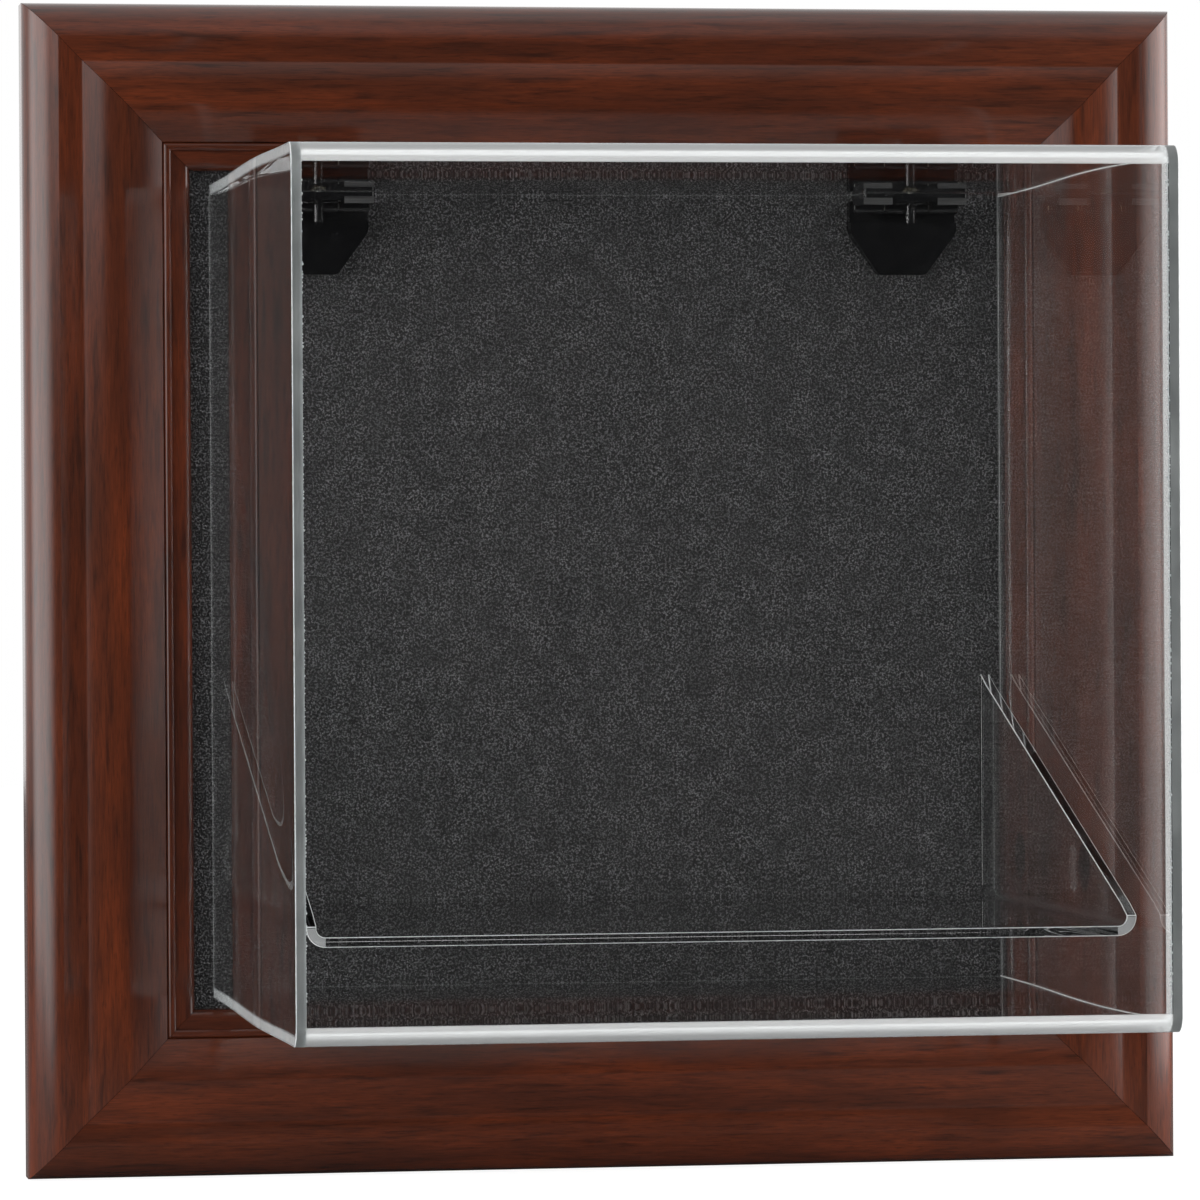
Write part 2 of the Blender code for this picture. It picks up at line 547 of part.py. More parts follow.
def make_hinges(panel, wrap, axis):
    """Two hinges on one axis, each a bracket, a pin and a leaf."""
    pin = prism([circle((AXIS_Y, AXIS_Z), PIN_RADIUS, SCREW_STEPS)], HINGE_WIDTH)
    bore = prism([circle((AXIS_Y, AXIS_Z), BORE_RADIUS, SCREW_STEPS)], 2 * HINGE_WIDTH)
    for hand, sign in HANDS.items():
        centre = HINGE_CENTRE_X + sign * HINGE_SPACING / 2
        pin_bore = tool(f"hinge_bore_{hand}", bore, at(centre, 0, 0) @ SIDEWAYS)
        make_hinge_base(hand, centre, panel, pin_bore)
        part(f"hinge_pin_{hand}", pin, STEEL, at(centre, 0, 0) @ SIDEWAYS)
        make_hinge_leaf(hand, centre, wrap, axis, pin_bore)


def make_cradle(axis):
    """A shelf folded up into two wings, which a slanting cut makes triangular, and its four pads."""
    half, under = CRADLE_WIDTH / 2, SHELF_TOP - SHEET
    wing_top = SHELF_TOP + WING_RISE
    corners = [(-half, wing_top), (-half, under), (half, under), (half, wing_top)]
    path = rounded(corners, [0, BEND_RADIUS, BEND_RADIUS, 0], BEND_STEPS)
    length = CRADLE_DEPTH - CRADLE_REAR_GAP
    middle = PANEL_FRONT - CRADLE_REAR_GAP - length / 2
    spot = at(COVER_CENTRE_X, middle, 0) @ UPRIGHT
    cradle = part("cradle", folded_strip(path, length), ACRYLIC, spot, axis)
    give_thickness(cradle)

    ahead = PANEL_FRONT - CRADLE_DEPTH - CUTTER_OVERRUN
    rise = (WING_RISE - WING_FRONT_RISE) / length
    slant = [
        (PANEL_FRONT, wing_top + rise * CRADLE_REAR_GAP),
        (ahead, SHELF_TOP + WING_FRONT_RISE - rise * CUTTER_OVERRUN),
        (ahead, wing_top + CUTTER_OVERRUN),
        (PANEL_FRONT, wing_top + CUTTER_OVERRUN),
    ]
    cut = prism([slant], 2 * CRADLE_WIDTH)
    combine(cradle, tool("cradle_slant", cut, SIDEWAYS))

    mesh = prism([circle((0, 0), PAD_RADIUS)], PAD_THICKNESS)
    for hand, sign in HANDS.items():
        x = COVER_CENTRE_X + sign * (half + COVER_WIDTH / 2 - SHEET) / 2
        for i, reach in enumerate(PAD_REACHES):
            pad_spot = at(x, PANEL_FRONT - reach, PAD_Z) @ SIDEWAYS
            part(f"cradle_pad_{hand}_{i + 1}", mesh, ACRYLIC, pad_spot, axis)


def main():
    """Builds the case."""
    rails = make_rails()
    make_mitre_nails(rails)
    panel = make_panel(rails)
    make_hangers(rails[0])
    axis = make_axis()
    wrap = make_cover(axis)
    make_hinges(panel, wrap, axis)
    make_cradle(axis)


main()
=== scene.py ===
"""Looks of the wall display case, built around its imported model.

Lengths are metres in the model's own frame: +Z is up, the front faces -Y, and the rear face of the
case lies in the plane y = 0.
"""

import json
import logging
from collections.abc import Sequence
from dataclasses import dataclass, field
from enum import Enum, IntEnum
from math import acos, asin, cos, degrees, pi, radians, sin, sqrt, tan

import bmesh
import bpy
from mathutils import Matrix, Vector

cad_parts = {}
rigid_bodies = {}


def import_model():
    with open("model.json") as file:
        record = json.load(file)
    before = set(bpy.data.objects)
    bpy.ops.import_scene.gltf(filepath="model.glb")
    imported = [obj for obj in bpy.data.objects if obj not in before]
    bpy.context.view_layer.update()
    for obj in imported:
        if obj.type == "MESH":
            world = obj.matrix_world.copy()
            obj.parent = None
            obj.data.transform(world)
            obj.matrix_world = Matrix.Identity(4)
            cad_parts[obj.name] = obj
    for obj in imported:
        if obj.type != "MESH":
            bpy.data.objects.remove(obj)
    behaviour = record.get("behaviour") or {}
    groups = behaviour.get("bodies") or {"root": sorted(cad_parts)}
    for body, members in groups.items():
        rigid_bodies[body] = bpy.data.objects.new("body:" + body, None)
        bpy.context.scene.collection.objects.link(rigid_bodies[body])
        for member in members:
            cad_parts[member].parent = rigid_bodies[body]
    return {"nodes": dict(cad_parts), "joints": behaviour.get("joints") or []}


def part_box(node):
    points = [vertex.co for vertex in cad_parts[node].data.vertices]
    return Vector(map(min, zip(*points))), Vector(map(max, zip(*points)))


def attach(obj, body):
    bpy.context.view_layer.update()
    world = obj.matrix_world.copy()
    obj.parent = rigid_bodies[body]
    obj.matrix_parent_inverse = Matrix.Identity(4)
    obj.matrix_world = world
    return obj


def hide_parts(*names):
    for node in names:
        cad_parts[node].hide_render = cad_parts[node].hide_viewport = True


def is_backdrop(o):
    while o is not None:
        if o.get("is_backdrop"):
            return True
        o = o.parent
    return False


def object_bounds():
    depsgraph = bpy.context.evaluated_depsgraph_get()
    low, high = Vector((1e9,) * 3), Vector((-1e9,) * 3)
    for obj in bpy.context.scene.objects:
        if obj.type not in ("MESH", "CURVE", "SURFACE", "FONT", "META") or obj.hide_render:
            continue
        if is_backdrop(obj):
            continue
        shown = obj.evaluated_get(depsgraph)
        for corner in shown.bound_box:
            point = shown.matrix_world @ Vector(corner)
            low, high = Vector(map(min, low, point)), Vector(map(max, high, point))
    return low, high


LOG = logging.getLogger("display_case")
PICTURE_SIDE = 1200
ACRYLIC_IOR = 1.49
FLOOR_GAP = 0.0002
# The second of two materials on a piece, for its bare or cut faces, or for the hinge ears' fronts
# painted paler as a painted sheen
SECOND = 1
# How squarely a face has to look along an axis to count as facing that way
FACING = 0.9
# How near a point counts as touching, and how far a bend's own points reach into the flat beside it
TOUCH = 0.0001
BEND_MARGIN = 0.0005

Point = tuple[float, float]
Colour = tuple[float, float, float, float]
Triple = tuple[float, float, float]

# Turns for a flat outline: it stays level, stands facing the front, or stands facing the side
LEVEL = Matrix.Identity(4)
UPRIGHT = Matrix.Rotation(pi / 2, 4, "X")
SIDEWAYS = Matrix(((0, 0, 1, 0), (1, 0, 0, 0), (0, 1, 0, 0), (0, 0, 0, 1)))
LAID_ALONG_X = Matrix.Rotation(pi / 2, 4, "Y")


class Body(Enum):
    """The model's two bodies."""

    FRAME = "case_frame"
    COVER = "cover"


class Slot(Enum):
    """The record's material slots, one passed with each new piece to mount, which does not use it."""

    WOOD = "stained_wood"
    ACRYLIC = "clear_acrylic"
    PLASTIC = "black_plastic"
    STEEL = "zinc_steel"


class Side(Enum):
    """The four sides of the frame, clockwise from the front, with their quarter turns."""

    TOP = 0
    RIGHT = 1
    BOTTOM = 2
    LEFT = 3

    @property
    def word(self) -> str:
        """The side as it stands in a node's name."""
        return self.name.lower()

    @property
    def level(self) -> bool:
        """Whether the rail lies level."""
        return self in (Side.TOP, Side.BOTTOM)

    @property
    def turn(self) -> Matrix:
        """The turn from the top rail to this one."""
        return Matrix.Rotation(self.value * pi / 2, 4, "Y")


class Hand(Enum):
    """The two ends of the case, seen from the front."""

    LEFT = -1
    RIGHT = 1

    @property
    def word(self) -> str:
        """The hand as it stands in a node's name."""
        return self.name.lower()


class Sheet(IntEnum):
    """The finishes on the faces of clear sheet, in the order of its materials."""

    CLEAR = 0
    SAWN = 1
    BENT = 2
    # The arris finish is near white, a painted highlight for light carried inside the sheet to its
    # edges.
    ARRIS = 3
    DUSTY = 4


def screen(red: int, green: int, blue: int) -> Colour:
    """A colour as a screen shows it, from 0 to 255, in linear light.

    Args:
        red: Its red.
        green: Its green.
        blue: Its blue.

    Returns:
        The colour, opaque.
    """
    shares = [value / 255 for value in (red, green, blue)]
    linear = [s / 12.92 if s <= 0.04045 else ((s + 0.055) / 1.055) ** 2.4 for s in shares]
    return (*linear, 1.0)


class NodeTree:
    """One of Blender's node trees, with short ways to fill it."""

    def __init__(self, tree: bpy.types.NodeTree) -> None:
        """Takes up a tree.

        Args:
            tree: Blender's own tree.
        """
        self.tree = tree
        self.nodes = tree.nodes
        self.links = tree.links

    def feed(self, socket: bpy.types.NodeSocket, value: object) -> None:
        """Links a socket to another one, or sets it to a constant.

        Args:
            socket: The socket.
            value: The other socket, or the constant.
        """
        if isinstance(value, bpy.types.NodeSocket):
            self.links.new(value, socket)
        else:
            socket.default_value = value

    def sum(self, first: object, second: object, kind: str = "ADD") -> bpy.types.NodeSocket:
        """Two values added, or put together by another operation.

        Args:
            first: A socket or a number.
            second: Another one.
            kind: The operation.

        Returns:
            The result's socket.
        """
        node = self.nodes.new("ShaderNodeMath")
        node.operation = kind
        self.feed(node.inputs[0], first)
        self.feed(node.inputs[1], second)
        return node.outputs[0]

    def times(self, first: object, second: object) -> bpy.types.NodeSocket:
        """Two values multiplied."""
        return self.sum(first, second, "MULTIPLY")

    def spread(self, value: bpy.types.NodeSocket, low: float, high: float, least: float = 0.0,
               most: float = 1.0, ramp: str = "LINEAR") -> bpy.types.NodeSocket:
        """A value brought from one range to another and held there.

        Args:
            value: The value.
            low: Where its own range starts.
            high: Where its own range ends.
            least: What the start becomes.
            most: What the end becomes.
            ramp: How it runs between them, LINEAR or SMOOTHSTEP.

        Returns:
            The new value's socket.
        """
        node = self.nodes.new("ShaderNodeMapRange")
        node.interpolation_type = ramp
        ends = {"From Min": low, "From Max": high, "To Min": least, "To Max": most}
        for name, number in ends.items():
            node.inputs[name].default_value = number
        self.links.new(value, node.inputs["Value"])
        return node.outputs["Result"]

    def part(self, vector: bpy.types.NodeSocket, axis: str) -> bpy.types.NodeSocket:
        """A vector's part along an axis.

        Args:
            vector: The vector.
            axis: X, Y or Z.

        Returns:
            The part's socket.
        """
        node = self.nodes.new("ShaderNodeSeparateXYZ")
        self.links.new(vector, node.inputs["Vector"])
        return node.outputs[axis]


class ShaderTree(NodeTree):
    """A material's nodes around one Principled shader."""

    def __init__(self, name: str) -> None:
        """Starts a material.

        Args:
            name: The material's name.
        """
        self.material = bpy.data.materials.new(name)
        self.material.use_nodes = True
        super().__init__(self.material.node_tree)
        self.surface = self.nodes["Principled BSDF"]
        self.output = self.nodes["Material Output"]
        self.place = self.nodes.new("ShaderNodeTexCoord").outputs["Object"]

    def shade(self, **values: object) -> None:
        """Sets the shader's sockets, named with underscores for spaces."""
        for name, value in values.items():
            self.feed(self.surface.inputs[name.replace("_", " ")], value)

    def noise(self, scale: float | Triple, detail: float = 2.0, move: Triple = (0, 0, 0),
              warp: float = 0.0) -> bpy.types.NodeSocket:
        """A noise field.

        Args:
            scale: Cells to the metre, one number or one for each axis.
            detail: Octaves of finer noise.
            move: Shift of the field, in cells.
            warp: How far the field is distorted.

        Returns:
            The field's value, around 0.5.
        """
        mapping = self.nodes.new("ShaderNodeMapping")
        mapping.inputs["Scale"].default_value = scale if isinstance(scale, tuple) else (scale,) * 3
        mapping.inputs["Location"].default_value = move
        self.links.new(self.place, mapping.inputs["Vector"])
        noise = self.nodes.new("ShaderNodeTexNoise")
        noise.inputs["Scale"].default_value = 1.0
        noise.inputs["Detail"].default_value = detail
        noise.inputs["Distortion"].default_value = warp
        self.links.new(mapping.outputs["Vector"], noise.inputs["Vector"])
        return noise.outputs["Fac"]

    def cells(self, scale: float) -> bpy.types.NodeSocket:
        """The distance from the middle of rounded cells.

        Args:
            scale: Cells to the metre.

        Returns:
            The distance's socket.
        """
        cells = self.nodes.new("ShaderNodeTexVoronoi")
        cells.feature = "SMOOTH_F1"
        cells.inputs["Scale"].default_value = scale
        cells.inputs["Smoothness"].default_value = 0.6
        self.links.new(self.place, cells.inputs["Vector"])
        return cells.outputs["Distance"]

    def mix(self, factor: object, first: object, second: object,
            blend: str = "MIX") -> bpy.types.NodeSocket:
        """Two colours mixed by a factor.

        Args:
            factor: The second colour's share.
            first: A colour or its socket.
            second: Another one.
            blend: The way they mix.

        Returns:
            The mixed colour's socket.
        """
        node = self.nodes.new("ShaderNodeMix")
        node.data_type = "RGBA"
        node.blend_type = blend
        self.feed(node.inputs[0], factor)
        self.feed(node.inputs[6], first)
        self.feed(node.inputs[7], second)
        return node.outputs[2]

    def bump(self, height: bpy.types.NodeSocket, strength: float, distance: float) -> None:
        """Raises the surface by a height field.

        Args:
            height: The field.
            strength: How strongly it shows.
            distance: How high it stands where the field is 1.
        """
        node = self.nodes.new("ShaderNodeBump")
        node.inputs["Strength"].default_value = strength
        node.inputs["Distance"].default_value = distance
        self.links.new(height, node.inputs["Height"])
        self.links.new(node.outputs["Normal"], self.surface.inputs["Normal"])

    def overlay(self, share: bpy.types.NodeSocket, shader: bpy.types.NodeSocket | None) -> None:
        """Puts a shader over what the material shows so far, or black where there is none.

        Args:
            share: How far it covers.
            shader: The shader.
        """
        node = self.nodes.new("ShaderNodeMixShader")
        under = self.output.inputs["Surface"]
        self.links.new(share, node.inputs["Fac"])
        self.links.new(under.links[0].from_socket, node.inputs[1])
        if shader is not None:
            self.links.new(shader, node.inputs[2])
        self.links.new(node.outputs["Shader"], under)

    def pass_lamps(self, share: float) -> None:
        """Lets that share of the lamps' light through to what stands behind the surface.

        Args:
            share: The share.
        """
        clear = self.nodes.new("ShaderNodeBsdfTransparent")
        clear.inputs["Color"].default_value = (share, share, share, 1)
        path = self.nodes.new("ShaderNodeLightPath")
        self.overlay(path.outputs["Is Shadow Ray"], clear.outputs["BSDF"])


class Finish:
    """A finish of the case, which can become a material."""

    def paint(self, tree: ShaderTree) -> None:
        """Sets up the nodes of a new material."""
        raise NotImplementedError

    def material(self, name: str) -> bpy.types.Material:
        """The finish as a material of that name.

        Args:
            name: The material's name.

        Returns:
            The material.
        """
        tree = ShaderTree(name)
        self.paint(tree)
        return tree.material


@dataclass(frozen=True)
class Timber(Finish):
    """Straight-grained timber, with its grain level or upright."""

    level: bool

    def along(self, lengthwise: float, across: float) -> Triple:
        """Cells to the metre, long along the grain."""
        return (lengthwise, across, across) if self.level else (across, across, lengthwise)


@dataclass(frozen=True)
class StainedWood(Timber):
    """Timber stained red-brown under a satin lacquer."""

    move: float
    middle: Colour = screen(71, 31, 15)
    red: Colour = screen(92, 39, 17)
    umber: Colour = screen(51, 24, 15)
    dark: Colour = screen(30, 15, 10)

    def paint(self, tree: ShaderTree) -> None:
        """Lays clouds, bands, streaks, fibre and pores in turn, under the lacquer.

        Args:
            tree: The new material's nodes.
        """
        move = (self.move, 2 * self.move, 3 * self.move)
        cloud = tree.spread(tree.noise(self.along(9, 40), 3, move), 0.36, 0.66)
        band = tree.spread(tree.noise(self.along(13, 140), 3, move, 0.5), 0.38, 0.68)
        streak = tree.spread(tree.noise(self.along(45, 520), 3, move, 0.4), 0.52, 0.74)
        fibre = tree.noise(self.along(120, 1900), 2, move)
        pore = tree.spread(tree.noise(self.along(240, 2600), 1, move), 0.58, 0.70)
        colour = tree.mix(cloud, self.middle, self.red)
        colour = tree.mix(tree.times(band, 0.6), colour, self.umber)
        colour = tree.mix(tree.times(streak, 0.65), colour, self.dark)
        colour = tree.mix(1.0, colour, tree.spread(fibre, 0.3, 0.7, 0.80, 1.18), "MULTIPLY")
        colour = tree.mix(tree.times(pore, 0.35), colour, self.dark)
        tree.shade(Base_Color=colour, Roughness=tree.spread(fibre, 0.3, 0.7, 0.50, 0.60))
        tree.shade(Specular_IOR_Level=0.05, Coat_Weight=1.0, Coat_Roughness=0.15, Coat_IOR=1.5)
        tree.bump(tree.sum(fibre, pore, "SUBTRACT"), 0.08, 0.00008)


@dataclass(frozen=True)
class RawWood(Timber):
    """The same timber where it is left bare, at the rear and in the cuts."""

    pale: Colour = screen(176, 138, 98)
    tan: Colour = screen(138, 100, 66)

    def paint(self, tree: ShaderTree) -> None:
        """Lays the figure and the fibre, with saw marks across them.

        Args:
            tree: The new material's nodes.
        """
        figure = tree.spread(tree.noise(self.along(6, 90), 3), 0.35, 0.68)
        fibre = tree.noise(self.along(40, 1500), 2)
        saw = tree.noise(self.along(900, 60), 1)
        colour = tree.mix(figure, self.pale, self.tan)
        colour = tree.mix(1.0, colour, tree.spread(fibre, 0.3, 0.7, 0.84, 1.08), "MULTIPLY")
        tree.shade(Base_Color=colour, Roughness=tree.spread(fibre, 0.3, 0.7, 0.62, 0.78))
        tree.bump(tree.sum(fibre, saw), 0.25, 0.00012)


@dataclass(frozen=True)
class PebbledBoard(Finish):
    """Black board with a pebbled front face and a plain paper rear."""

    front: float
    skin: Point = (0.0003, 0.0006)
    face: Colour = screen(18, 18, 19)
    # The crest colour is a painted highlight: pale crests stand for the pebbles' sparkle under the
    # lamps.
    crest: Colour = screen(150, 150, 152)
    rear: Colour = screen(38, 34, 31)

    def paint(self, tree: ShaderTree) -> None:
        """Raises pebbles on the skin of the front and paper behind it, and paints the pebbles' crests
        paler, a painted highlight for their sparkle.

        Args:
            tree: The new material's nodes.
        """
        inner, outer = (self.front + depth for depth in self.skin[::-1])
        fore = tree.spread(tree.part(tree.place, "Y"), inner, outer)
        worm = tree.spread(tree.noise(1300, 1.0, warp=0.2), 0.40, 0.62)
        grain = tree.spread(tree.cells(1500), 0.1, 0.55, 1, 0)
        pebble = tree.sum(tree.times(worm, 0.5), tree.times(grain, 0.6))
        patch = tree.spread(tree.noise(110, 2), 0.35, 0.65, 0.55, 1.0)
        paper = tree.noise((420, 420, 90), 3)
        height = tree.sum(tree.times(pebble, fore), tree.times(paper, 0.05))
        # Painted highlight: the pebbles are mixed towards the pale crest colour, in patches.
        colour = tree.mix(tree.times(tree.spread(pebble, 0.3, 1.1), patch), self.face, self.crest)
        back = tree.mix(tree.spread(paper, 0.3, 0.7), self.rear, self.face)
        tree.shade(Base_Color=tree.mix(fore, back, colour))
        tree.shade(Roughness=tree.spread(pebble, 0.2, 0.9, 0.40, 0.22))
        tree.bump(height, 1.0, 0.0006)


@dataclass(frozen=True)
class ClearAcrylic(Finish):
    """Polished clear sheet, with the faintest uneven tint and, where it is handled, a film of dust."""

    dust: float = 0.0
    clear: Colour = (1.0, 1.0, 1.0, 1.0)
    tint: Colour = (0.972, 0.985, 0.982, 1.0)

    def paint(self, tree: ShaderTree) -> None:
        """Tints the sheet in broad clouds.

        Args:
            tree: The new material's nodes.
        """
        film = tree.spread(tree.noise(9, 3), 0.45, 0.75)
        tree.shade(Base_Color=tree.mix(film, self.clear, self.tint), Roughness=0.0)
        tree.shade(Transmission_Weight=1 - self.dust, IOR=ACRYLIC_IOR)
        tree.pass_lamps(0.92)


@dataclass(frozen=True)
class BentAcrylic(Finish):
    """Clear sheet where heat has folded it, clouded pale: partly its own faint hazing, partly a
    painted highlight for the light that the bend reflects.
    """

    tint: Colour = screen(250, 252, 252)
    haze: float = 0.36

    def paint(self, tree: ShaderTree) -> None:
        """Hazes the sheet and ripples it along the fold.

        Args:
            tree: The new material's nodes.
        """
        # The pale share is partly real hazing and partly a painted highlight for the bend.
        tree.shade(Base_Color=self.tint, Transmission_Weight=1 - self.haze, IOR=ACRYLIC_IOR)
        tree.shade(Roughness=tree.spread(tree.noise((25, 300, 300), 2), 0.3, 0.7, 0.0, 0.06))
        tree.bump(tree.noise((20, 160, 160), 2), 0.05, 0.0002)
        tree.pass_lamps(0.9)


@dataclass(frozen=True)
class SawnAcrylic(Finish):
    """A cut and scraped edge of clear sheet, frosted by fine saw lines."""

    pale: Colour = screen(146, 150, 150)
    grey: Colour = screen(118, 122, 122)

    def paint(self, tree: ShaderTree) -> None:
        """Frosts the edge in patches and scores it.

        Args:
            tree: The new material's nodes.
        """
        lines = tree.noise(500, 2)
        patch = tree.noise(60, 2)
        tree.shade(Base_Color=tree.mix(tree.spread(patch, 0.35, 0.65), self.pale, self.grey))
        tree.shade(Roughness=tree.spread(lines, 0.3, 0.7, 0.34, 0.46))
        tree.shade(Transmission_Weight=0.55, IOR=ACRYLIC_IOR)
        tree.bump(lines, 0.1, 0.0001)
        tree.pass_lamps(0.8)


@dataclass(frozen=True)
class BrightArris(Finish):
    """A corner of clear sheet painted near white, a painted highlight for the light that gathers
    inside the sheet at its edges.
    """

    white: Colour = screen(248, 250, 250)
    milky: Colour = screen(212, 218, 218)

    def paint(self, tree: ShaderTree) -> None:
        """Clouds the corner by its nicks.

        Args:
            tree: The new material's nodes.
        """
        nicks = tree.noise(420, 3)
        tree.shade(Base_Color=tree.mix(tree.spread(nicks, 0.4, 0.65), self.white, self.milky))
        tree.shade(Roughness=tree.spread(nicks, 0.3, 0.7, 0.25, 0.45))
        tree.shade(Transmission_Weight=0.2, IOR=ACRYLIC_IOR)
        tree.pass_lamps(0.8)


@dataclass(frozen=True)
class ClearGel(Finish):
    """A soft clear pad that wets the sheets on both sides, so that it hardly shows."""

    tint: Colour = (0.97, 0.98, 0.98, 1.0)

    def paint(self, tree: ShaderTree) -> None:
        """Makes the pad clear, with a faint ripple.

        Args:
            tree: The new material's nodes.
        """
        tree.shade(Base_Color=self.tint, Roughness=0.0, Transmission_Weight=1.0, IOR=1.02)
        tree.bump(tree.noise(300, 1), 0.05, 0.0001)
        tree.pass_lamps(0.97)


@dataclass(frozen=True)
class SetGlue(Finish):
    """Solvent glue in a joint, white with trapped air."""

    white: Colour = screen(246, 248, 248)
    milky: Colour = screen(222, 228, 230)

    def paint(self, tree: ShaderTree) -> None:
        """Clouds the glue with fine air.

        Args:
            tree: The new material's nodes.
        """
        cloud = tree.noise(700, 2)
        tree.shade(Base_Color=tree.mix(tree.spread(cloud, 0.35, 0.65), self.white, self.milky))
        tree.shade(Roughness=tree.spread(cloud, 0.3, 0.7, 0.35, 0.6))
        tree.shade(Transmission_Weight=0.12, IOR=1.45)
        tree.pass_lamps(0.7)


@dataclass(frozen=True)
class BlackPlastic(Finish):
    """Glossy black moulded plastic."""

    face: Colour = screen(6, 6, 7)
    worn: Colour = screen(16, 16, 17)

    def paint(self, tree: ShaderTree) -> None:
        """Wears the gloss in clouds, over the ripple of the mould.

        Args:
            tree: The new material's nodes.
        """
        cloud = tree.noise(130, 3)
        ripple = tree.noise(45, 1)
        tree.shade(Base_Color=tree.mix(tree.spread(cloud, 0.45, 0.8), self.face, self.worn))
        tree.shade(Roughness=tree.spread(cloud, 0.3, 0.7, 0.13, 0.24))
        tree.bump(tree.sum(ripple, tree.times(cloud, 0.1)), 0.1, 0.0002)


@dataclass(frozen=True)
class SatinPlastic(Finish):
    """A paler grey copy of the same plastic, a painted sheen for the light on the hinge ears' fronts,
    with faint level streaks.
    """

    face: Colour = screen(52, 52, 52)
    pale: Colour = screen(76, 76, 76)

    def paint(self, tree: ShaderTree) -> None:
        """Draws the streaks.

        Args:
            tree: The new material's nodes.
        """
        streak = tree.noise((60, 400, 1400), 2)
        tree.shade(Base_Color=tree.mix(tree.spread(streak, 0.35, 0.65), self.face, self.pale))
        tree.shade(Roughness=tree.spread(streak, 0.3, 0.7, 0.42, 0.55))
        tree.bump(streak, 0.1, 0.0001)


@dataclass(frozen=True)
class ZincSteel(Finish):
    """Zinc-plated steel with a faint yellow passivation."""

    bright: Colour = screen(196, 197, 196)
    yellow: Colour = screen(186, 178, 152)
    dull: Colour = screen(120, 120, 118)

    def paint(self, tree: ShaderTree) -> None:
        """Yellows the zinc in clouds and roughens it with grit.

        Args:
            tree: The new material's nodes.
        """
        cloud = tree.noise(240, 3)
        grit = tree.noise(2600, 2)
        colour = tree.mix(tree.spread(cloud, 0.42, 0.68), self.bright, self.yellow)
        colour = tree.mix(tree.spread(grit, 0.58, 0.8, 0, 0.6), colour, self.dull)
        tree.shade(Base_Color=colour, Metallic=1.0)
        tree.shade(Roughness=tree.spread(cloud, 0.3, 0.7, 0.26, 0.42))
        tree.bump(grit, 0.12, 0.00005)


class Finishes:
    """The materials that more than one sub-assembly takes."""

    def __init__(self) -> None:
        """Makes each material once; those of clear sheet stand in the order of Sheet."""
        self.sheet = (
            ClearAcrylic().material("acrylic_polished"),
            SawnAcrylic().material("acrylic_sawn_edge"),
            BentAcrylic().material("acrylic_bent"),
            BrightArris().material("acrylic_arris"),
            ClearAcrylic(dust=0.006).material("acrylic_dusty"),
        )
        self.glue = SetGlue().material("acrylic_glue")
        self.gel = ClearGel().material("acrylic_gel_pad")
        self.plastic = BlackPlastic().material("plastic_gloss_black")
        # The satin plastic is a paler copy of the black plastic, a painted sheen for the hinge ears'
        # fronts.
        self.satin = SatinPlastic().material("plastic_satin_black")
        self.steel = ZincSteel().material("steel_zinc_plated")


def arc(centre: Point, radius_x: float, radius_y: float, start: float, end: float,
        steps: int) -> list[Point]:
    """Points on an elliptical arc between two angles in degrees, both ends included."""
    angles = [radians(start + (end - start) * i / steps) for i in range(steps + 1)]
    return [(centre[0] + radius_x * cos(a), centre[1] + radius_y * sin(a)) for a in angles]


def bowl(crest: Point, foot: Point, steps: int) -> list[Point]:
    """Points on a parabola that leaves its crest level and steepens to its foot, without the crest.

    Args:
        crest: Its start.
        foot: Its end.
        steps: Its steps.

    Returns:
        The points.
    """
    run, fall = foot[0] - crest[0], foot[1] - crest[1]
    shares = [i / steps for i in range(1, steps + 1)]
    return [(crest[0] + run * t, crest[1] + fall * t * t) for t in shares]


def circle(centre: Point, radius: float, steps: int) -> list[Point]:
    """A closed round outline."""
    return arc(centre, radius, radius, 0, 360, steps)[:-1]


def rectangle(width: float, height: float) -> list[Point]:
    """The corners of a rectangle about the origin."""
    return [(sx * width / 2, sy * height / 2) for sx, sy in ((-1, -1), (1, -1), (1, 1), (-1, 1))]


def rounded(corners: Sequence[Point], radii: Sequence[float], steps: int = 8) -> list[Point]:
    """An outline through corners, each turned into an arc of its radius.

    Args:
        corners: The corners in order.
        radii: One radius for each corner; 0 keeps it sharp.
        steps: Steps in each arc.

    Returns:
        The outline's points.
    """
    points: list[Point] = []
    for i, (corner, radius) in enumerate(zip(corners, radii)):
        here = Vector(corner)
        if radius == 0:
            points.append((here.x, here.y))
            continue
        back = (Vector(corners[i - 1]) - here).normalized()
        ahead = (Vector(corners[(i + 1) % len(corners)]) - here).normalized()
        half = back.angle(ahead) / 2
        middle = here + (back + ahead).normalized() * (radius / sin(half))
        first = (here + back * (radius / tan(half)) - middle).normalized()
        last = (here + ahead * (radius / tan(half)) - middle).normalized()
        points += [tuple(middle + radius * first.slerp(last, k / steps)) for k in range(steps + 1)]
    return points


def inner_side(path: Sequence[Point], thickness: float) -> list[Point]:
    """The path of a folded sheet's inner side, on the left of its outer side's path.

    Args:
        path: The outer side's points.
        thickness: The sheet's thickness.

    Returns:
        The inner side's points.
    """
    inner = []
    for i, (p, q) in enumerate(path):
        before, after = path[max(i - 1, 0)], path[min(i + 1, len(path) - 1)]
        along = Vector((after[0] - before[0], after[1] - before[1])).normalized()
        inner.append((p - along.y * thickness, q + along.x * thickness))
    return inner


def settled(shape: bmesh.types.BMesh, name: str, turn: Matrix = LEVEL) -> bpy.types.Mesh:
    """A mesh from a shape, welded, facing outwards and turned into place.

    Args:
        shape: The shape, which is freed.
        name: The mesh's name.
        turn: The turn into place.

    Returns:
        The mesh.
    """
    bmesh.ops.remove_doubles(shape, verts=shape.verts, dist=1e-7)
    bmesh.ops.recalc_face_normals(shape, faces=shape.faces)
    shape.transform(turn)
    mesh = bpy.data.meshes.new(name)
    shape.to_mesh(mesh)
    shape.free()
    return mesh


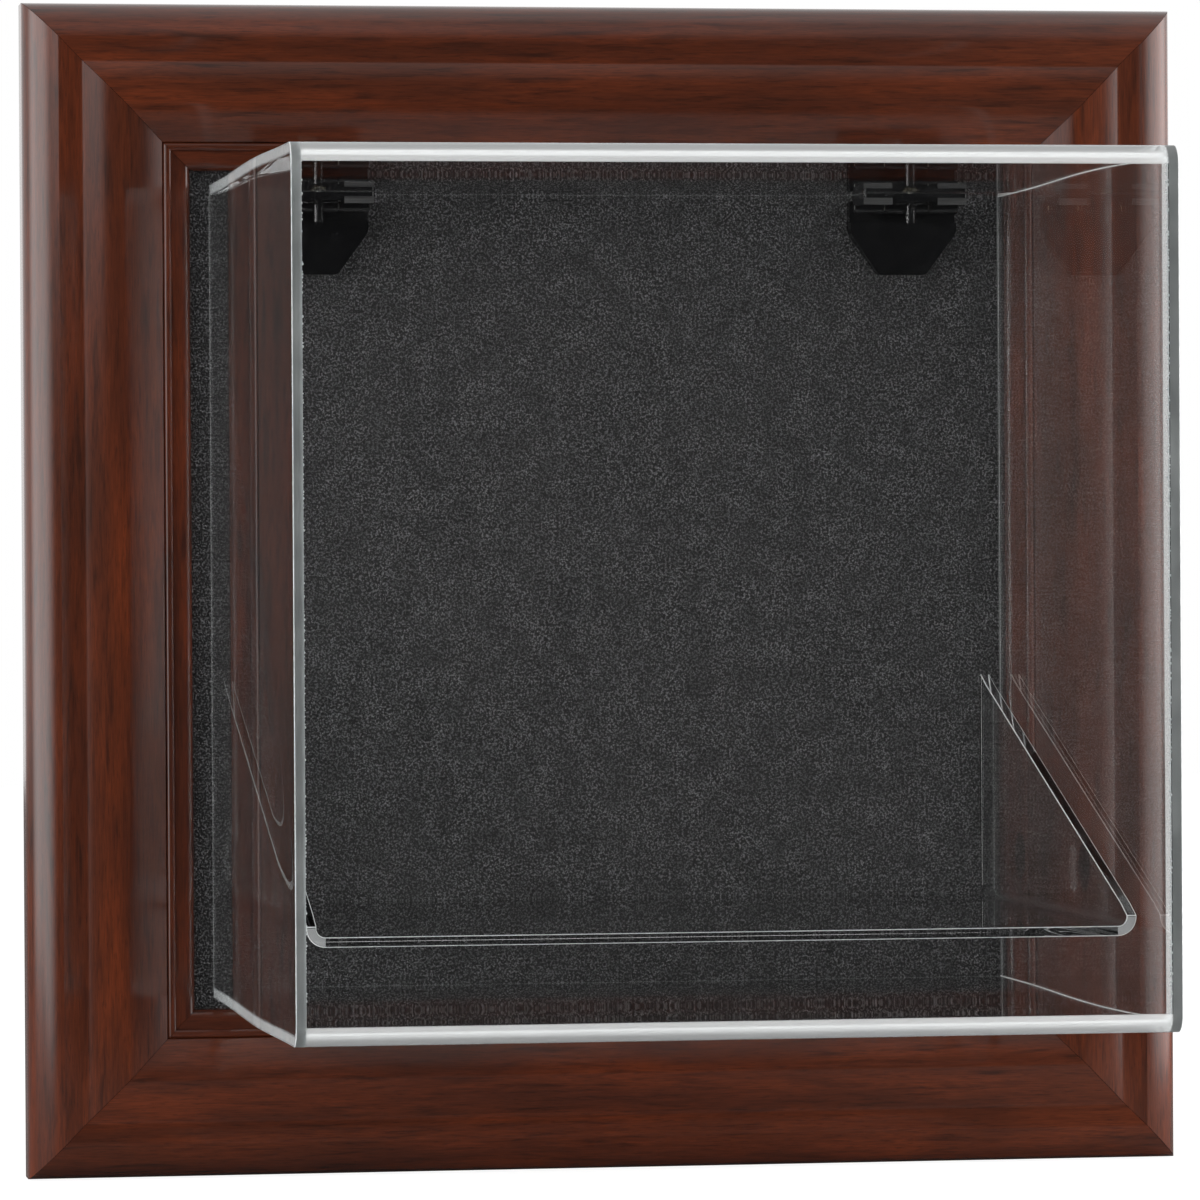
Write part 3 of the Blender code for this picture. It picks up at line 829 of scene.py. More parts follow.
def prism(outline: Sequence[Point], low: float, high: float, turn: Matrix = LEVEL) -> bpy.types.Mesh:
    """A flat outline raised from one height to another, then turned into place.

    Args:
        outline: The outline's points.
        low: The lower height.
        high: The upper height.
        turn: The turn into place.

    Returns:
        The mesh.
    """
    shape = bmesh.new()
    floor = [shape.verts.new((p, q, low)) for p, q in outline]
    roof = [shape.verts.new((p, q, high)) for p, q in outline]
    shape.faces.new(floor)
    shape.faces.new(roof)
    for i in range(len(outline)):
        shape.faces.new((floor[i - 1], floor[i], roof[i], roof[i - 1]))
    return settled(shape, "prism", turn)


def lathe(profile: Sequence[Point], steps: int, turn: Matrix = LEVEL) -> bpy.types.Mesh:
    """A profile of radii and heights turned about Z; a radius of 0 closes an end in one point.

    Args:
        profile: The radii and heights in order.
        steps: Steps in a full turn.
        turn: The turn into place.

    Returns:
        The mesh.
    """
    shape = bmesh.new()
    rings = []
    for radius, height in profile:
        count = steps if radius else 1
        angles = [2 * pi * i / steps for i in range(count)]
        rings.append([shape.verts.new((radius * cos(a), radius * sin(a), height)) for a in angles])
    for upper, lower in zip(rings, rings[1:]):
        for i in range(steps):
            j = (i + 1) % steps
            left = [ring[i % len(ring)] for ring in (upper, lower)]
            right = [ring[j % len(ring)] for ring in (lower, upper)]
            shape.faces.new(tuple(dict.fromkeys(left + right)))
    return settled(shape, "turning", turn)


def plate(outlines: Sequence[Sequence[Point]], thickness: float, edge: float,
          turn: Matrix) -> bpy.types.Mesh:
    """A flat plate with rounded arrises.

    Args:
        outlines: The outer outline, then its holes.
        thickness: The plate's thickness, half to either side of its plane.
        edge: How far the arrises are rounded.
        turn: The turn and move into place.

    Returns:
        The plate's mesh.
    """
    curve = bpy.data.curves.new("outline", "CURVE")
    curve.dimensions = "2D"
    curve.fill_mode = "BOTH"
    curve.extrude = thickness / 2 - edge
    curve.bevel_depth = edge
    curve.bevel_resolution = 2
    curve.offset = -edge
    for outline in outlines:
        spline = curve.splines.new("POLY")
        spline.points.add(len(outline) - 1)
        for point, (p, q) in zip(spline.points, outline):
            point.co = (p, q, 0, 1)
        spline.use_cyclic_u = True
    holder = add("outline", curve)
    graph = bpy.context.evaluated_depsgraph_get()
    mesh = bpy.data.meshes.new_from_object(holder.evaluated_get(graph))
    bpy.data.objects.remove(holder)
    shape = bmesh.new()
    shape.from_mesh(mesh)
    return settled(shape, "plate", turn)


def add(name: str, data: bpy.types.ID | None) -> bpy.types.Object:
    """A new object in the scene.

    Args:
        name: Its name.
        data: Its mesh, curve, light or camera.

    Returns:
        The object.
    """
    obj = bpy.data.objects.new(name, data)
    bpy.context.scene.collection.objects.link(obj)
    return obj


def settle(obj: bpy.types.Object) -> None:
    """Turns what an object's modifiers make into its plain mesh.

    Args:
        obj: The object.
    """
    graph = bpy.context.evaluated_depsgraph_get()
    made = obj.evaluated_get(graph)
    mesh = bpy.data.meshes.new_from_object(made, preserve_all_data_layers=True, depsgraph=graph)
    obj.modifiers.clear()
    obj.data = mesh


def combine(obj: bpy.types.Object, tools: Sequence[bpy.types.Mesh],
            operation: str = "DIFFERENCE") -> None:
    """Cuts other shapes out of an object, or joins them to it.

    Args:
        obj: The object.
        tools: The other shapes.
        operation: DIFFERENCE, UNION or INTERSECT.
    """
    helpers = [add("tool", mesh) for mesh in tools]
    for helper in helpers:
        boolean = obj.modifiers.new("Combine", "BOOLEAN")
        boolean.operation = operation
        boolean.solver = "EXACT"
        boolean.object = helper
    settle(obj)
    for helper in helpers:
        bpy.data.objects.remove(helper)


def mark_cuts(cuts: Sequence[bpy.types.Mesh], *materials: bpy.types.Material) -> None:
    """Gives the shapes that cut a piece its first two materials, and all their faces the second.

    Args:
        cuts: The shapes.
        *materials: The piece's first two materials.
    """
    for cut in cuts:
        for material in materials:
            cut.materials.append(material)
        cut.polygons.foreach_set("material_index", [SECOND] * len(cut.polygons))


def soften(obj: bpy.types.Object, width: float, segments: int, angle: float = 40.0,
           finish: int = -1) -> None:
    """Rounds an object's sharp edges, with the flat faces between them left flat to the light.

    Args:
        obj: The object.
        width: The rounding's width.
        segments: Its steps.
        angle: The least angle, in degrees, of an edge that counts as sharp.
        finish: The index of the rounding's material; -1 takes that of the faces beside it.
    """
    obj.data.shade_smooth()
    bevel = obj.modifiers.new("Soften", "BEVEL")
    bevel.width = width
    bevel.segments = segments
    bevel.limit_method = "ANGLE"
    bevel.angle_limit = radians(angle)
    bevel.harden_normals = True
    bevel.material = finish
    settle(obj)


def smooth(obj: bpy.types.Object, angle: float) -> None:
    """Shades an object smooth, apart from edges sharper than an angle in degrees."""
    obj.data.shade_smooth()
    obj.data.set_sharp_from_angle(angle=radians(angle))


def dress(obj: bpy.types.Object, *materials: bpy.types.Material) -> None:
    """Gives an object its materials, in the order that its faces name them.

    Args:
        obj: The object.
        *materials: Its materials.
    """
    named = [face.material_index for face in obj.data.polygons]
    obj.data.materials.clear()
    for material in materials:
        obj.data.materials.append(material)
    obj.data.polygons.foreach_set("material_index", named)


def mount(obj: bpy.types.Object, body: Body, slot: Slot, *nodes: str) -> None:
    """Puts a finished piece on its body.

    Args:
        obj: The piece.
        body: The body that carries it.
        slot: The record's material slot that its finish comes from; not used.
        *nodes: The model's nodes that it stands for.
    """
    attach(obj, body.value)
    if nodes:
        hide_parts(*nodes)
    LOG.info("%s: %d faces on %s", obj.name, len(obj.data.polygons), body.value)


class GeometryTree(NodeTree):
    """A Geometry Nodes tree with named inputs."""

    def __init__(self, name: str) -> None:
        """Starts a tree from a piece's own mesh.

        Args:
            name: The tree's name.
        """
        super().__init__(bpy.data.node_groups.new(name, "GeometryNodeTree"))
        self.face = self.tree.interface
        self.face.new_socket("Geometry", in_out="INPUT", socket_type="NodeSocketGeometry")
        self.face.new_socket("Geometry", in_out="OUTPUT", socket_type="NodeSocketGeometry")
        self.source = self.nodes.new("NodeGroupInput")
        self.keys: dict[str, str] = {}

    def input(self, name: str, kind: str) -> bpy.types.NodeSocket:
        """A named input of the tree.

        Args:
            name: Its name.
            kind: Its socket's kind, such as Float.

        Returns:
            The socket that gives it.
        """
        socket = self.face.new_socket(name, in_out="INPUT", socket_type=f"NodeSocket{kind}")
        self.keys[name] = socket.identifier
        return self.source.outputs[name]

    def node(self, kind: str, settings: dict[str, object] | None = None,
             **inputs: object) -> bpy.types.Node:
        """Adds a node.

        Args:
            kind: The node's type, without its prefix.
            settings: The node's own properties.
            **inputs: Its sockets, named with underscores for spaces: another socket, or a constant.

        Returns:
            The node.
        """
        prefix = "" if kind.startswith(("Shader", "Function")) else "GeometryNode"
        node = self.nodes.new(prefix + kind)
        for name, value in (settings or {}).items():
            setattr(node, name, value)
        for name, value in inputs.items():
            self.feed(node.inputs[name.replace("_", " ")], value)
        return node

    def finish(self, shape: bpy.types.NodeSocket) -> None:
        """Ends the tree: real geometry, in the material that the last input names.

        Args:
            shape: What the tree has made.
        """
        real = self.node("RealizeInstances", Geometry=shape)
        material = self.input("Material", "Material")
        dressed = self.node("SetMaterial", Geometry=real.outputs[0], Material=material)
        self.links.new(dressed.outputs[0], self.nodes.new("NodeGroupOutput").inputs[0])

    def run(self, obj: bpy.types.Object, **values: object) -> None:
        """Runs the tree on an object and keeps the result as its plain mesh.

        Args:
            obj: The object.
            **values: The tree's inputs, named with underscores for spaces.
        """
        modifier = obj.modifiers.new("Nodes", "NODES")
        modifier.node_group = self.tree
        for name, value in values.items():
            modifier[self.keys[name.replace("_", " ")]] = value
        settle(obj)
        obj.data.materials.clear()
        obj.data.materials.append(values["Material"])


def moulding_tree() -> GeometryTree:
    """A section drawn out to a rail, mitred at both ends and turned to its side of the frame.

    Returns:
        The tree.
    """
    tree = GeometryTree("mitred_moulding")
    section = tree.source.outputs[0]
    gap = tree.input("Mitre Gap", "Float")
    turn = tree.input("Turn", "Vector")
    extrusion = {"mode": "FACES"}
    drawn = tree.node("ExtrudeMesh", extrusion, Mesh=section, Offset_Scale=2.0, Individual=False)
    cap = tree.node("FlipFaces", Mesh=section)
    both = tree.node("JoinGeometry")
    for half in (cap, drawn):
        tree.links.new(half.outputs[0], both.inputs[0])
    whole = tree.node("MergeByDistance", Geometry=both.outputs[0], Distance=1e-6)
    place = tree.node("InputPosition").outputs[0]
    x, y, z = (tree.part(place, axis) for axis in "XYZ")
    end = tree.node("ShaderNodeMath", {"operation": "SIGN"}, Value=x)
    mitre = tree.times(end.outputs[0], tree.sum(z, gap, "SUBTRACT"))
    spot = tree.node("ShaderNodeCombineXYZ", X=mitre, Y=y, Z=z)
    mitred = tree.node("SetPosition", Geometry=whole.outputs[0], Position=spot.outputs[0])
    turned = tree.node("Transform", Geometry=mitred.outputs[0], Rotation=turn)
    tree.finish(turned.outputs[0])
    return tree


def screw_tree() -> GeometryTree:
    """One screw at each point, each turned by chance about its own axis.

    Returns:
        The tree.
    """
    tree = GeometryTree("screw_set")
    screw = tree.input("Screw", "Object")
    axis = tree.input("Axis", "Vector")
    seed = tree.input("Seed", "Int")
    form = tree.node("ObjectInfo", Object=screw)
    chance = tree.node("FunctionNodeRandomValue", {"data_type": "FLOAT"}, Seed=seed)
    chance.inputs[3].default_value = 2 * pi
    scale = {"operation": "SCALE"}
    twist = tree.node("ShaderNodeVectorMath", scale, Vector=axis, Scale=chance.outputs[1])
    screws = tree.node("InstanceOnPoints", Points=tree.source.outputs[0],
                       Instance=form.outputs["Geometry"], Rotation=twist.outputs[0])
    tree.finish(screws.outputs[0])
    return tree


def bubble_tree() -> GeometryTree:
    """Small drops of glue and air strung along a joint by chance.

    Returns:
        The tree.
    """
    tree = GeometryTree("glue_drops")
    step, least, most = (tree.input(name, "Float") for name in ("Step", "Least", "Most"))
    scatter = tree.input("Scatter", "Vector")
    seed = tree.input("Seed", "Int")
    line = tree.node("MeshToCurve", Mesh=tree.source.outputs[0])
    points = tree.node("CurveToPoints", {"mode": "LENGTH"}, Curve=line.outputs[0], Length=step)
    size = tree.node("FunctionNodeRandomValue", {"data_type": "FLOAT"}, Seed=seed)
    tree.feed(size.inputs[2], least)
    tree.feed(size.inputs[3], most)
    shift = tree.node("FunctionNodeRandomValue", {"data_type": "FLOAT_VECTOR"}, Seed=seed)
    shift.inputs[0].default_value = (-1, -1, -1)
    away = tree.node("ShaderNodeVectorMath", {"operation": "MULTIPLY"})
    tree.feed(away.inputs[0], shift.outputs[0])
    tree.feed(away.inputs[1], scatter)
    strewn = tree.node("SetPosition", Geometry=points.outputs[0], Offset=away.outputs[0])
    drop = tree.node("MeshUVSphere", Segments=8, Rings=5, Radius=1.0)
    drops = tree.node("InstanceOnPoints", Points=strewn.outputs[0], Instance=drop.outputs[0],
                      Scale=size.outputs[1])
    tree.finish(drops.outputs[0])
    return tree


@dataclass
class Moulding:
    """The four mitred rails of the frame, with insets from the outer edge and heights off the wall."""

    half: float
    width: float = 0.057
    side_height: float = 0.010
    roll: Point = (0.016, 0.012)
    roll_end: float = 0.0118
    quirk: Point = (0.0196, 0.0199)
    swell: Point = (0.034, 0.0227)
    slope: Point = (0.0472, 0.0166)
    slope_power: float = 1.25
    bead_inset: float = 0.0475
    bead_width: float = 0.0028
    bead_base: float = 0.0159
    bead_rise: float = 0.0011
    flat_height: float = 0.0155
    sight_round: Point = (0.003, 0.0035)
    rabbet_inset: float = 0.037
    rabbet_height: float = 0.0103
    mitre_gap: float = 0.00008
    nail_leg: float = 0.0009
    slot_gap: float = 0.00015
    mortise_depth: float = 0.0019
    mortise_corner: float = 0.004
    pocket: Triple = (0.0135, 0.0185, 0.010)
    pocket_corner: float = 0.003
    grain_start: float = 1.7
    grain_step: float = 2.9
    crisp_angle: float = 34.0

    def section(self) -> list[Point]:
        """The rail's section as inset and height, from its rear outer corner round the front.

        Returns:
            The section's corners.
        """
        last = 180 - degrees(acos(1 - self.roll_end / self.roll[0]))
        roll = arc((self.roll[0], self.side_height), *self.roll, 180, last, 24)
        hollow = bowl(self.quirk, roll[-1], 12)[-2::-1] + [self.quirk]
        crown = bowl(self.swell, self.quirk, 16)[-2::-1] + [self.swell]
        run, fall = self.slope[0] - self.swell[0], self.swell[1] - self.slope[1]
        shares = [i / 18 for i in range(1, 19)]
        falls = [fall * t**self.slope_power for t in shares]
        fallen = [(self.swell[0] + run * t, self.swell[1] - f) for t, f in zip(shares, falls)]
        bead_middle = (self.bead_inset + self.bead_width / 2, self.bead_base)
        bead = arc(bead_middle, self.bead_width / 2, self.bead_rise, 180, 0, 12)
        ledge = [(self.bead_inset + self.bead_width, self.flat_height)]
        sight_middle = (self.width - self.sight_round[0], self.flat_height - self.sight_round[1])
        sight = arc(sight_middle, *self.sight_round, 90, 0, 12)
        ceiling, inset = self.rabbet_height, self.rabbet_inset
        rabbet = [(self.width, ceiling), (inset, ceiling), (inset, 0)]
        return [(0, 0)] + roll + hollow + crown + fallen + bead + ledge + sight + rabbet

    def section_mesh(self) -> bpy.types.Mesh:
        """The section as one flat face, square to X and facing along it.

        Returns:
            The mesh.
        """
        mesh = bpy.data.meshes.new("section")
        corners = [(-1, -height, self.half - inset) for inset, height in self.section()]
        mesh.from_pydata(corners, [], [range(len(corners))])
        if mesh.polygons[0].normal.x < 0:
            mesh.flip_normals()
        return mesh

    def nail_slot(self, node: str) -> bpy.types.Mesh:
        """The slot round a V nail.

        Args:
            node: The nail's node.

        Returns:
            The shape to cut with.
        """
        low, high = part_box(node)
        sign = [1 if low[i] > 0 else -1 for i in (0, 2)]
        across, up = (high[i] - low[i] + 2 * self.slot_gap for i in (0, 2))
        thick = self.nail_leg + 2 * self.slot_gap
        outline = [(0, 0), (across, 0), (across, thick), (thick, thick), (thick, up), (0, up)]
        corner = [(high if s > 0 else low)[i] + s * self.slot_gap for s, i in zip(sign, (0, 2))]
        placed = [(corner[0] - sign[0] * p, corner[1] - sign[1] * q) for p, q in outline]
        return prism(placed, -self.slot_gap * 4, -low.y + self.slot_gap, UPRIGHT)

    def hanger_bed(self, node: str) -> list[bpy.types.Mesh]:
        """The mortise under a keyhole plate, and the pocket for the head of its wall screw.

        Args:
            node: The plate's node.

        Returns:
            The shapes to cut with.
        """
        low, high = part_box(node)
        middle = Matrix.Translation(((low.x + high.x) / 2, 0, (low.z + high.z) / 2))
        bed = rectangle(high.x - low.x + 4 * self.slot_gap, high.z - low.z + 4 * self.slot_gap)
        hole = rectangle(self.pocket[0], self.pocket[1])
        beds = (
            (bed, self.mortise_corner, self.mortise_depth),
            (hole, self.pocket_corner, self.pocket[2]),
        )
        return [
            prism(rounded(corners, [radius] * 4), -self.slot_gap * 4, depth, middle @ UPRIGHT)
            for corners, radius, depth in beds
        ]

    def rear_cuts(self, side: Side) -> list[bpy.types.Mesh]:
        """What is cut into the rear of one rail.

        Args:
            side: The rail's side.

        Returns:
            The shapes to cut with.
        """
        nails = [f"mitre_nail_{side.value + 1}", f"mitre_nail_{(side.value + 3) % 4 + 1}"]
        cuts = [self.nail_slot(nail) for nail in nails]
        if side is Side.TOP:
            for hand in Hand:
                cuts += self.hanger_bed(f"hanger_plate_{hand.word}")
        return cuts

    def build(self) -> None:
        """Makes and dresses the four rails."""
        tree = moulding_tree()
        for side in Side:
            rail = add(f"moulding_{side.word}", self.section_mesh())
            stain = StainedWood(side.level, self.grain_start + self.grain_step * side.value)
            stained = stain.material(f"wood_stained_{side.word}")
            raw = RawWood(side.level).material(f"wood_raw_{side.word}")
            tree.run(rail, Mitre_Gap=self.mitre_gap, Turn=side.turn.to_euler(), Material=stained)
            cuts = self.rear_cuts(side)
            mark_cuts(cuts, stained, raw)
            dress(rail, stained, raw)
            combine(rail, cuts)
            self.bare_rear(rail)
            smooth(rail, self.crisp_angle)
            mount(rail, Body.FRAME, Slot.WOOD, f"rail_{side.word}")

    def bare_rear(self, rail: bpy.types.Object) -> None:
        """Leaves the rear face and the rabbet unstained.

        Args:
            rail: The rail.
        """
        for face in rail.data.polygons:
            if face.normal.y > FACING:
                face.material_index = SECOND


def set_screws(name: str, form: bpy.types.Object, places: Sequence[Triple], axis: Triple, seed: int,
               steel: bpy.types.Material) -> bpy.types.Object:
    """Sets copies of one screw, and removes the screw that they are copied from.

    Args:
        name: The set's name.
        form: The one screw.
        places: Where the copies go.
        axis: The screws' own axis.
        seed: What their turns about it are drawn from.
        steel: Their material.

    Returns:
        The set, as one object.
    """
    smooth(form, 30)
    points = bpy.data.meshes.new(name)
    points.from_pydata(places, [], [])
    screws = add(name, points)
    screw_tree().run(screws, Screw=form, Axis=axis, Seed=seed, Material=steel)
    bpy.data.objects.remove(form)
    return screws


@dataclass
class ScrewSet:
    """Countersunk screws with a cross recess, each standing for a node."""

    name: str
    nodes: tuple[str, ...]
    head_radius: float = 0.0030
    rim: float = 0.0004
    head_depth: float = 0.0022
    shank_radius: float = 0.0014
    tip: float = 0.003
    dish: float = 0.0001
    dish_share: float = 0.8
    recess_width: float = 0.0008
    recess_depth: float = 0.0013
    recess_rise: float = 0.0006
    recess_shares: Point = (0.58, 0.22)

    def profile(self, length: float) -> list[Point]:
        """Radii and heights down one screw, whose head's face is at 0.

        Args:
            length: The screw's length.

        Returns:
            The profile's points.
        """
        return [
            (0, -self.dish),
            (self.head_radius * self.dish_share, 0),
            (self.head_radius - self.dish, 0),
            (self.head_radius, -self.dish),
            (self.head_radius, -self.rim),
            (self.shank_radius, -self.head_depth),
            (self.shank_radius, self.tip - length),
            (0, -length),
        ]

    def recess(self) -> list[bpy.types.Mesh]:
        """The two crossing wedges of the recess.

        Returns:
            The shapes to cut with.
        """
        reach, narrow = (self.head_radius * share for share in self.recess_shares)
        top, depth, half = self.recess_rise, self.recess_depth, self.recess_width / 2
        slant = [(-reach, top), (reach, top), (narrow, -depth), (-narrow, -depth)]
        turns = [Matrix.Rotation(turn, 4, "Z") @ UPRIGHT for turn in (0, pi / 2)]
        return [prism(slant, -half, half, turn) for turn in turns]

    def build(self, finishes: Finishes) -> None:
        """Makes and dresses the set.

        Args:
            finishes: The shared materials.
        """
        boxes = [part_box(node) for node in self.nodes]
        length = boxes[0][1].y - boxes[0][0].y
        form = add("screw_form", lathe(self.profile(length), 24))
        combine(form, self.recess())
        form.data.transform(Matrix.Rotation(-pi / 2, 4, "X"))
        places = [((lo.x + hi.x) / 2, hi.y, (lo.z + hi.z) / 2) for lo, hi in boxes]
        screws = set_screws(self.name, form, places, (0, 1, 0), len(self.name), finishes.steel)
        mount(screws, Body.FRAME, Slot.STEEL, *self.nodes)


@dataclass
class LeafScrews:
    """The two low round-headed screws that hold the cover's top to its hinges."""

    radius: float = 0.003
    head: float = 0.0012
    shank: float = 0.0008
    recess_shares: Point = (0.2, 0.7)
    seed: int = 5

    def build(self, finishes: Finishes) -> None:
        """Makes and dresses both screws, with recesses by their shares of the head.

        Args:
            finishes: The shared materials.
        """
        nodes = [f"leaf_screw_{hand.word}" for hand in Hand]
        boxes = [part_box(node) for node in nodes]
        length = boxes[0][1].z - boxes[0][0].z - self.head
        dome = arc((0, 0), self.radius, self.head, 90, 8, 8)
        stem = [(self.radius, 0), (self.shank, 0), (self.shank, -length), (0, -length)]
        form = add("screw_form", lathe([(0, self.head)] + dome[1:] + stem, 24))
        depth, height = (self.head * share for share in self.recess_shares)
        cuts = ScrewSet("", (), head_radius=self.radius, recess_depth=depth).recess()
        for cut in cuts:
            cut.transform(Matrix.Translation((0, 0, height)))
        combine(form, cuts)
        spots = [((lo.x + hi.x) / 2, (lo.y + hi.y) / 2, hi.z - self.head) for lo, hi in boxes]
        screws = set_screws("leaf_screws", form, spots, (0, 0, 1), self.seed, finishes.steel)
        mount(screws, Body.COVER, Slot.STEEL, *nodes)


@dataclass
class Hangers:
    """The two keyhole plates at the rear of the top rail."""

    corner: float = 0.004
    edge: float = 0.0003
    hole_radius: float = 0.0046
    slot_radius: float = 0.0024
    drop: float = 0.0040
    rise: float = 0.0060
    screw_spread: float = 0.0135
    screw_hole: float = 0.0033

    def keyhole(self) -> list[Point]:
        """A round hole with a narrower slot rising from it.

        Returns:
            The outline's points.
        """
        slot_end = arc((0, self.rise), self.slot_radius, self.slot_radius, 0, 180, 12)
        mouth = degrees(asin(self.slot_radius / self.hole_radius))
        hole = arc((0, -self.drop), self.hole_radius, self.hole_radius, 90 + mouth, 450 - mouth, 28)
        return slot_end + hole

    def build(self, finishes: Finishes) -> None:
        """Makes and dresses both plates.

        Args:
            finishes: The shared materials.
        """
        for hand in Hand:
            node = f"hanger_plate_{hand.word}"
            low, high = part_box(node)
            outline = rounded(rectangle(high.x - low.x, high.z - low.z), [self.corner] * 4)
            holes = [circle((s * self.screw_spread, 0), self.screw_hole, 24) for s in (-1, 1)]
            place = Matrix.Translation((low + high) / 2) @ UPRIGHT
            keyed = plate([outline, self.keyhole(), *holes], high.y - low.y, self.edge, place)
            piece = add(f"keyhole_{hand.word}", keyed)
            smooth(piece, 30)
            dress(piece, finishes.steel)
            mount(piece, Body.FRAME, Slot.STEEL, node)


@dataclass
class Cover:
    """The clear cover: a folded sheet between two side panels, glued into one."""

    axis: Vector
    sheet: float = 0.0032
    bend: float = 0.006
    bow: float = 0.0010
    bow_start: float = -0.045
    relief: float = 0.0101
    notch_width: float = 0.041
    notch_reach: float = 0.022
    notch_corner: float = 0.0015
    hole_radius: float = 0.0011
    edge: float = 0.00036
    glue_half: float = 0.00005
    glue_inset: float = 0.00012
    glue_starts: Point = (0.04, 0.55)
    drop_step: float = 0.0010
    drop_sizes: Point = (0.00018, 0.00050)
    drop_scatter: Triple = (0.0003, 0.0004, 0.0004)
    drop_seed: int = 11
    outer: list[Point] = field(default_factory=list)
    inner: list[Point] = field(default_factory=list)

    def __post_init__(self) -> None:
        """Takes the cover's place from the model and draws its section."""
        low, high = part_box("cover_side_left")
        far_low, far_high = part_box("cover_side_right")
        self.levels = (low.x, high.x, far_low.x, far_high.x)
        self.front, self.rear, self.bottom, self.top = low.y, high.y, low.z, high.z
        self.top_rear = self.axis.y + sqrt(self.relief**2 - (self.top - self.axis.z) ** 2)
        self.outer = self.path()
        self.inner = inner_side(self.outer, self.sheet)

    def swelled(self, level: float, sign: int, start: float, end: float, steps: int) -> list[Point]:
        """One level side of the folded sheet, which bows a little outwards, without its last point.

        Args:
            level: Its height where it is flat.
            sign: 1 at the top, -1 at the bottom.
            start: Its first place along Y.
            end: Its last place along Y.
            steps: Its steps.

        Returns:
            The points, along Y and Z.
        """
        points = []
        for i in range(steps):
            y = start + (end - start) * i / steps
            share = (y - self.bow_start) / (self.front + self.bend - self.bow_start)
            lift = self.bow * sin(pi * share) ** 2 if 0 < share < 1 else 0.0
            points.append((y, level + sign * lift))
        return points

    def path(self) -> list[Point]:
        """The outer side of the folded sheet, from its top rear edge round the front to the bottom.

        Returns:
            The points, along Y and Z.
        """
        near, bend, edge = self.front + self.bend, self.bend, BEND_MARGIN
        points = [(self.top_rear, self.top)]
        points += self.swelled(self.top, 1, self.bow_start, near + edge, 28)
        points += [(near + edge, self.top)]
        points += arc((near, self.top - bend), bend, bend, 90, 180, 20)
        points += [(self.front, self.top - bend - edge), (self.front, self.bottom + bend + edge)]
        points += arc((near, self.bottom + bend), bend, bend, 180, 270, 20)
        points += self.swelled(self.bottom, -1, near + edge, self.bow_start, 28)
        return points + [(self.bow_start, self.bottom), (self.rear, self.bottom)]

    def in_bend(self, point: Vector) -> bool:
        """Whether a point of the sheet lies in one of its two bends.

        Args:
            point: The point.

        Returns:
            True where it does.
        """
        reach = self.bend + TOUCH
        middle = (self.top + self.bottom) / 2
        return point.y < self.front + reach and abs(point.z - middle) > self.top - middle - reach

    def on_level(self, point: Vector) -> bool:
        """Whether a point lies on the cover's top or bottom, behind its bends."""
        behind = point.y > self.front + self.bend
        return behind and (point.z > self.top - TOUCH or point.z < self.bottom + TOUCH)

    def rear_line(self) -> list[Point]:
        """A side panel's rear edge, from the sheet's bottom up round the hinge axis to its top.

        Returns:
            The points, along Y and Z.
        """
        reach = self.rear - self.axis.y
        low_angle = degrees(asin(sqrt(self.relief**2 - reach**2) / self.relief))
        high_angle = degrees(asin((self.top - self.axis.z) / self.relief))
        middle = (self.axis.y, self.axis.z)
        return arc(middle, self.relief, self.relief, low_angle, high_angle, 10)[:-1]

    def shell(self) -> bpy.types.Mesh:
        """The fused cover before its notches and holes, with its faces marked by finish.

        Returns:
            The mesh.
        """
        shape = bmesh.new()
        rings = {}
        for x in self.levels:
            rings[x] = {
                "outer": [shape.verts.new((x, y, z)) for y, z in self.outer],
                "rear": [shape.verts.new((x, y, z)) for y, z in self.rear_line()],
                "heel": shape.verts.new((x, *self.inner[-1])),
            }
        for x in self.levels[1:3]:
            inner = [shape.verts.new((x, y, z)) for y, z in self.inner[:-1]]
            rings[x]["inner"] = inner + [rings[x]["heel"]]

        def strip(first: list, second: list, finish: Sheet) -> None:
            """Joins two rows of points by faces.

            Args:
                first: One row.
                second: The other row.
                finish: What the faces take where they lie in no bend and at no level edge, which takes
                    the near-white arris finish as a painted highlight.
            """
            for i in range(len(first) - 1):
                face = shape.faces.new((first[i], first[i + 1], second[i + 1], second[i]))
                ends = first[i].co, first[i + 1].co
                bent = finish == Sheet.CLEAR and all(self.in_bend(end) for end in ends)
                # Painted highlight: the side panels' top and bottom edges take the near-white arris
                # finish.
                pale = finish == Sheet.SAWN and all(self.on_level(end) for end in ends)
                face.material_index = Sheet.BENT if bent else Sheet.ARRIS if pale else finish

        for pair in zip(self.levels, self.levels[1:]):
            ends = [rings[x] for x in pair]
            if pair[0] == self.levels[1]:
                strip(*(ring["outer"] for ring in ends), Sheet.CLEAR)
                strip(*(ring["inner"] for ring in ends), Sheet.CLEAR)
                for lip in (0, -1):
                    strip(*([ring["outer"][lip], ring["inner"][lip]] for ring in ends), Sheet.SAWN)
                continue
            strip(*(ring["outer"] for ring in ends), Sheet.SAWN)
            edges = ([r["outer"][-1], r["heel"], *r["rear"], r["outer"][0]] for r in ends)
            strip(*edges, Sheet.SAWN)
        walls = [rings[x] for x in (self.levels[0], self.levels[3])]
        sides = [[*wall["outer"], wall["heel"], *wall["rear"]] for wall in walls]
        walls = [rings[x] for x in self.levels[1:3]]
        sides += [[*wall["inner"], *wall["rear"], wall["outer"][0]] for wall in walls]
        for corners in sides:
            shape.faces.new(corners).material_index = Sheet.DUSTY
        return settled(shape, "cover_shell")

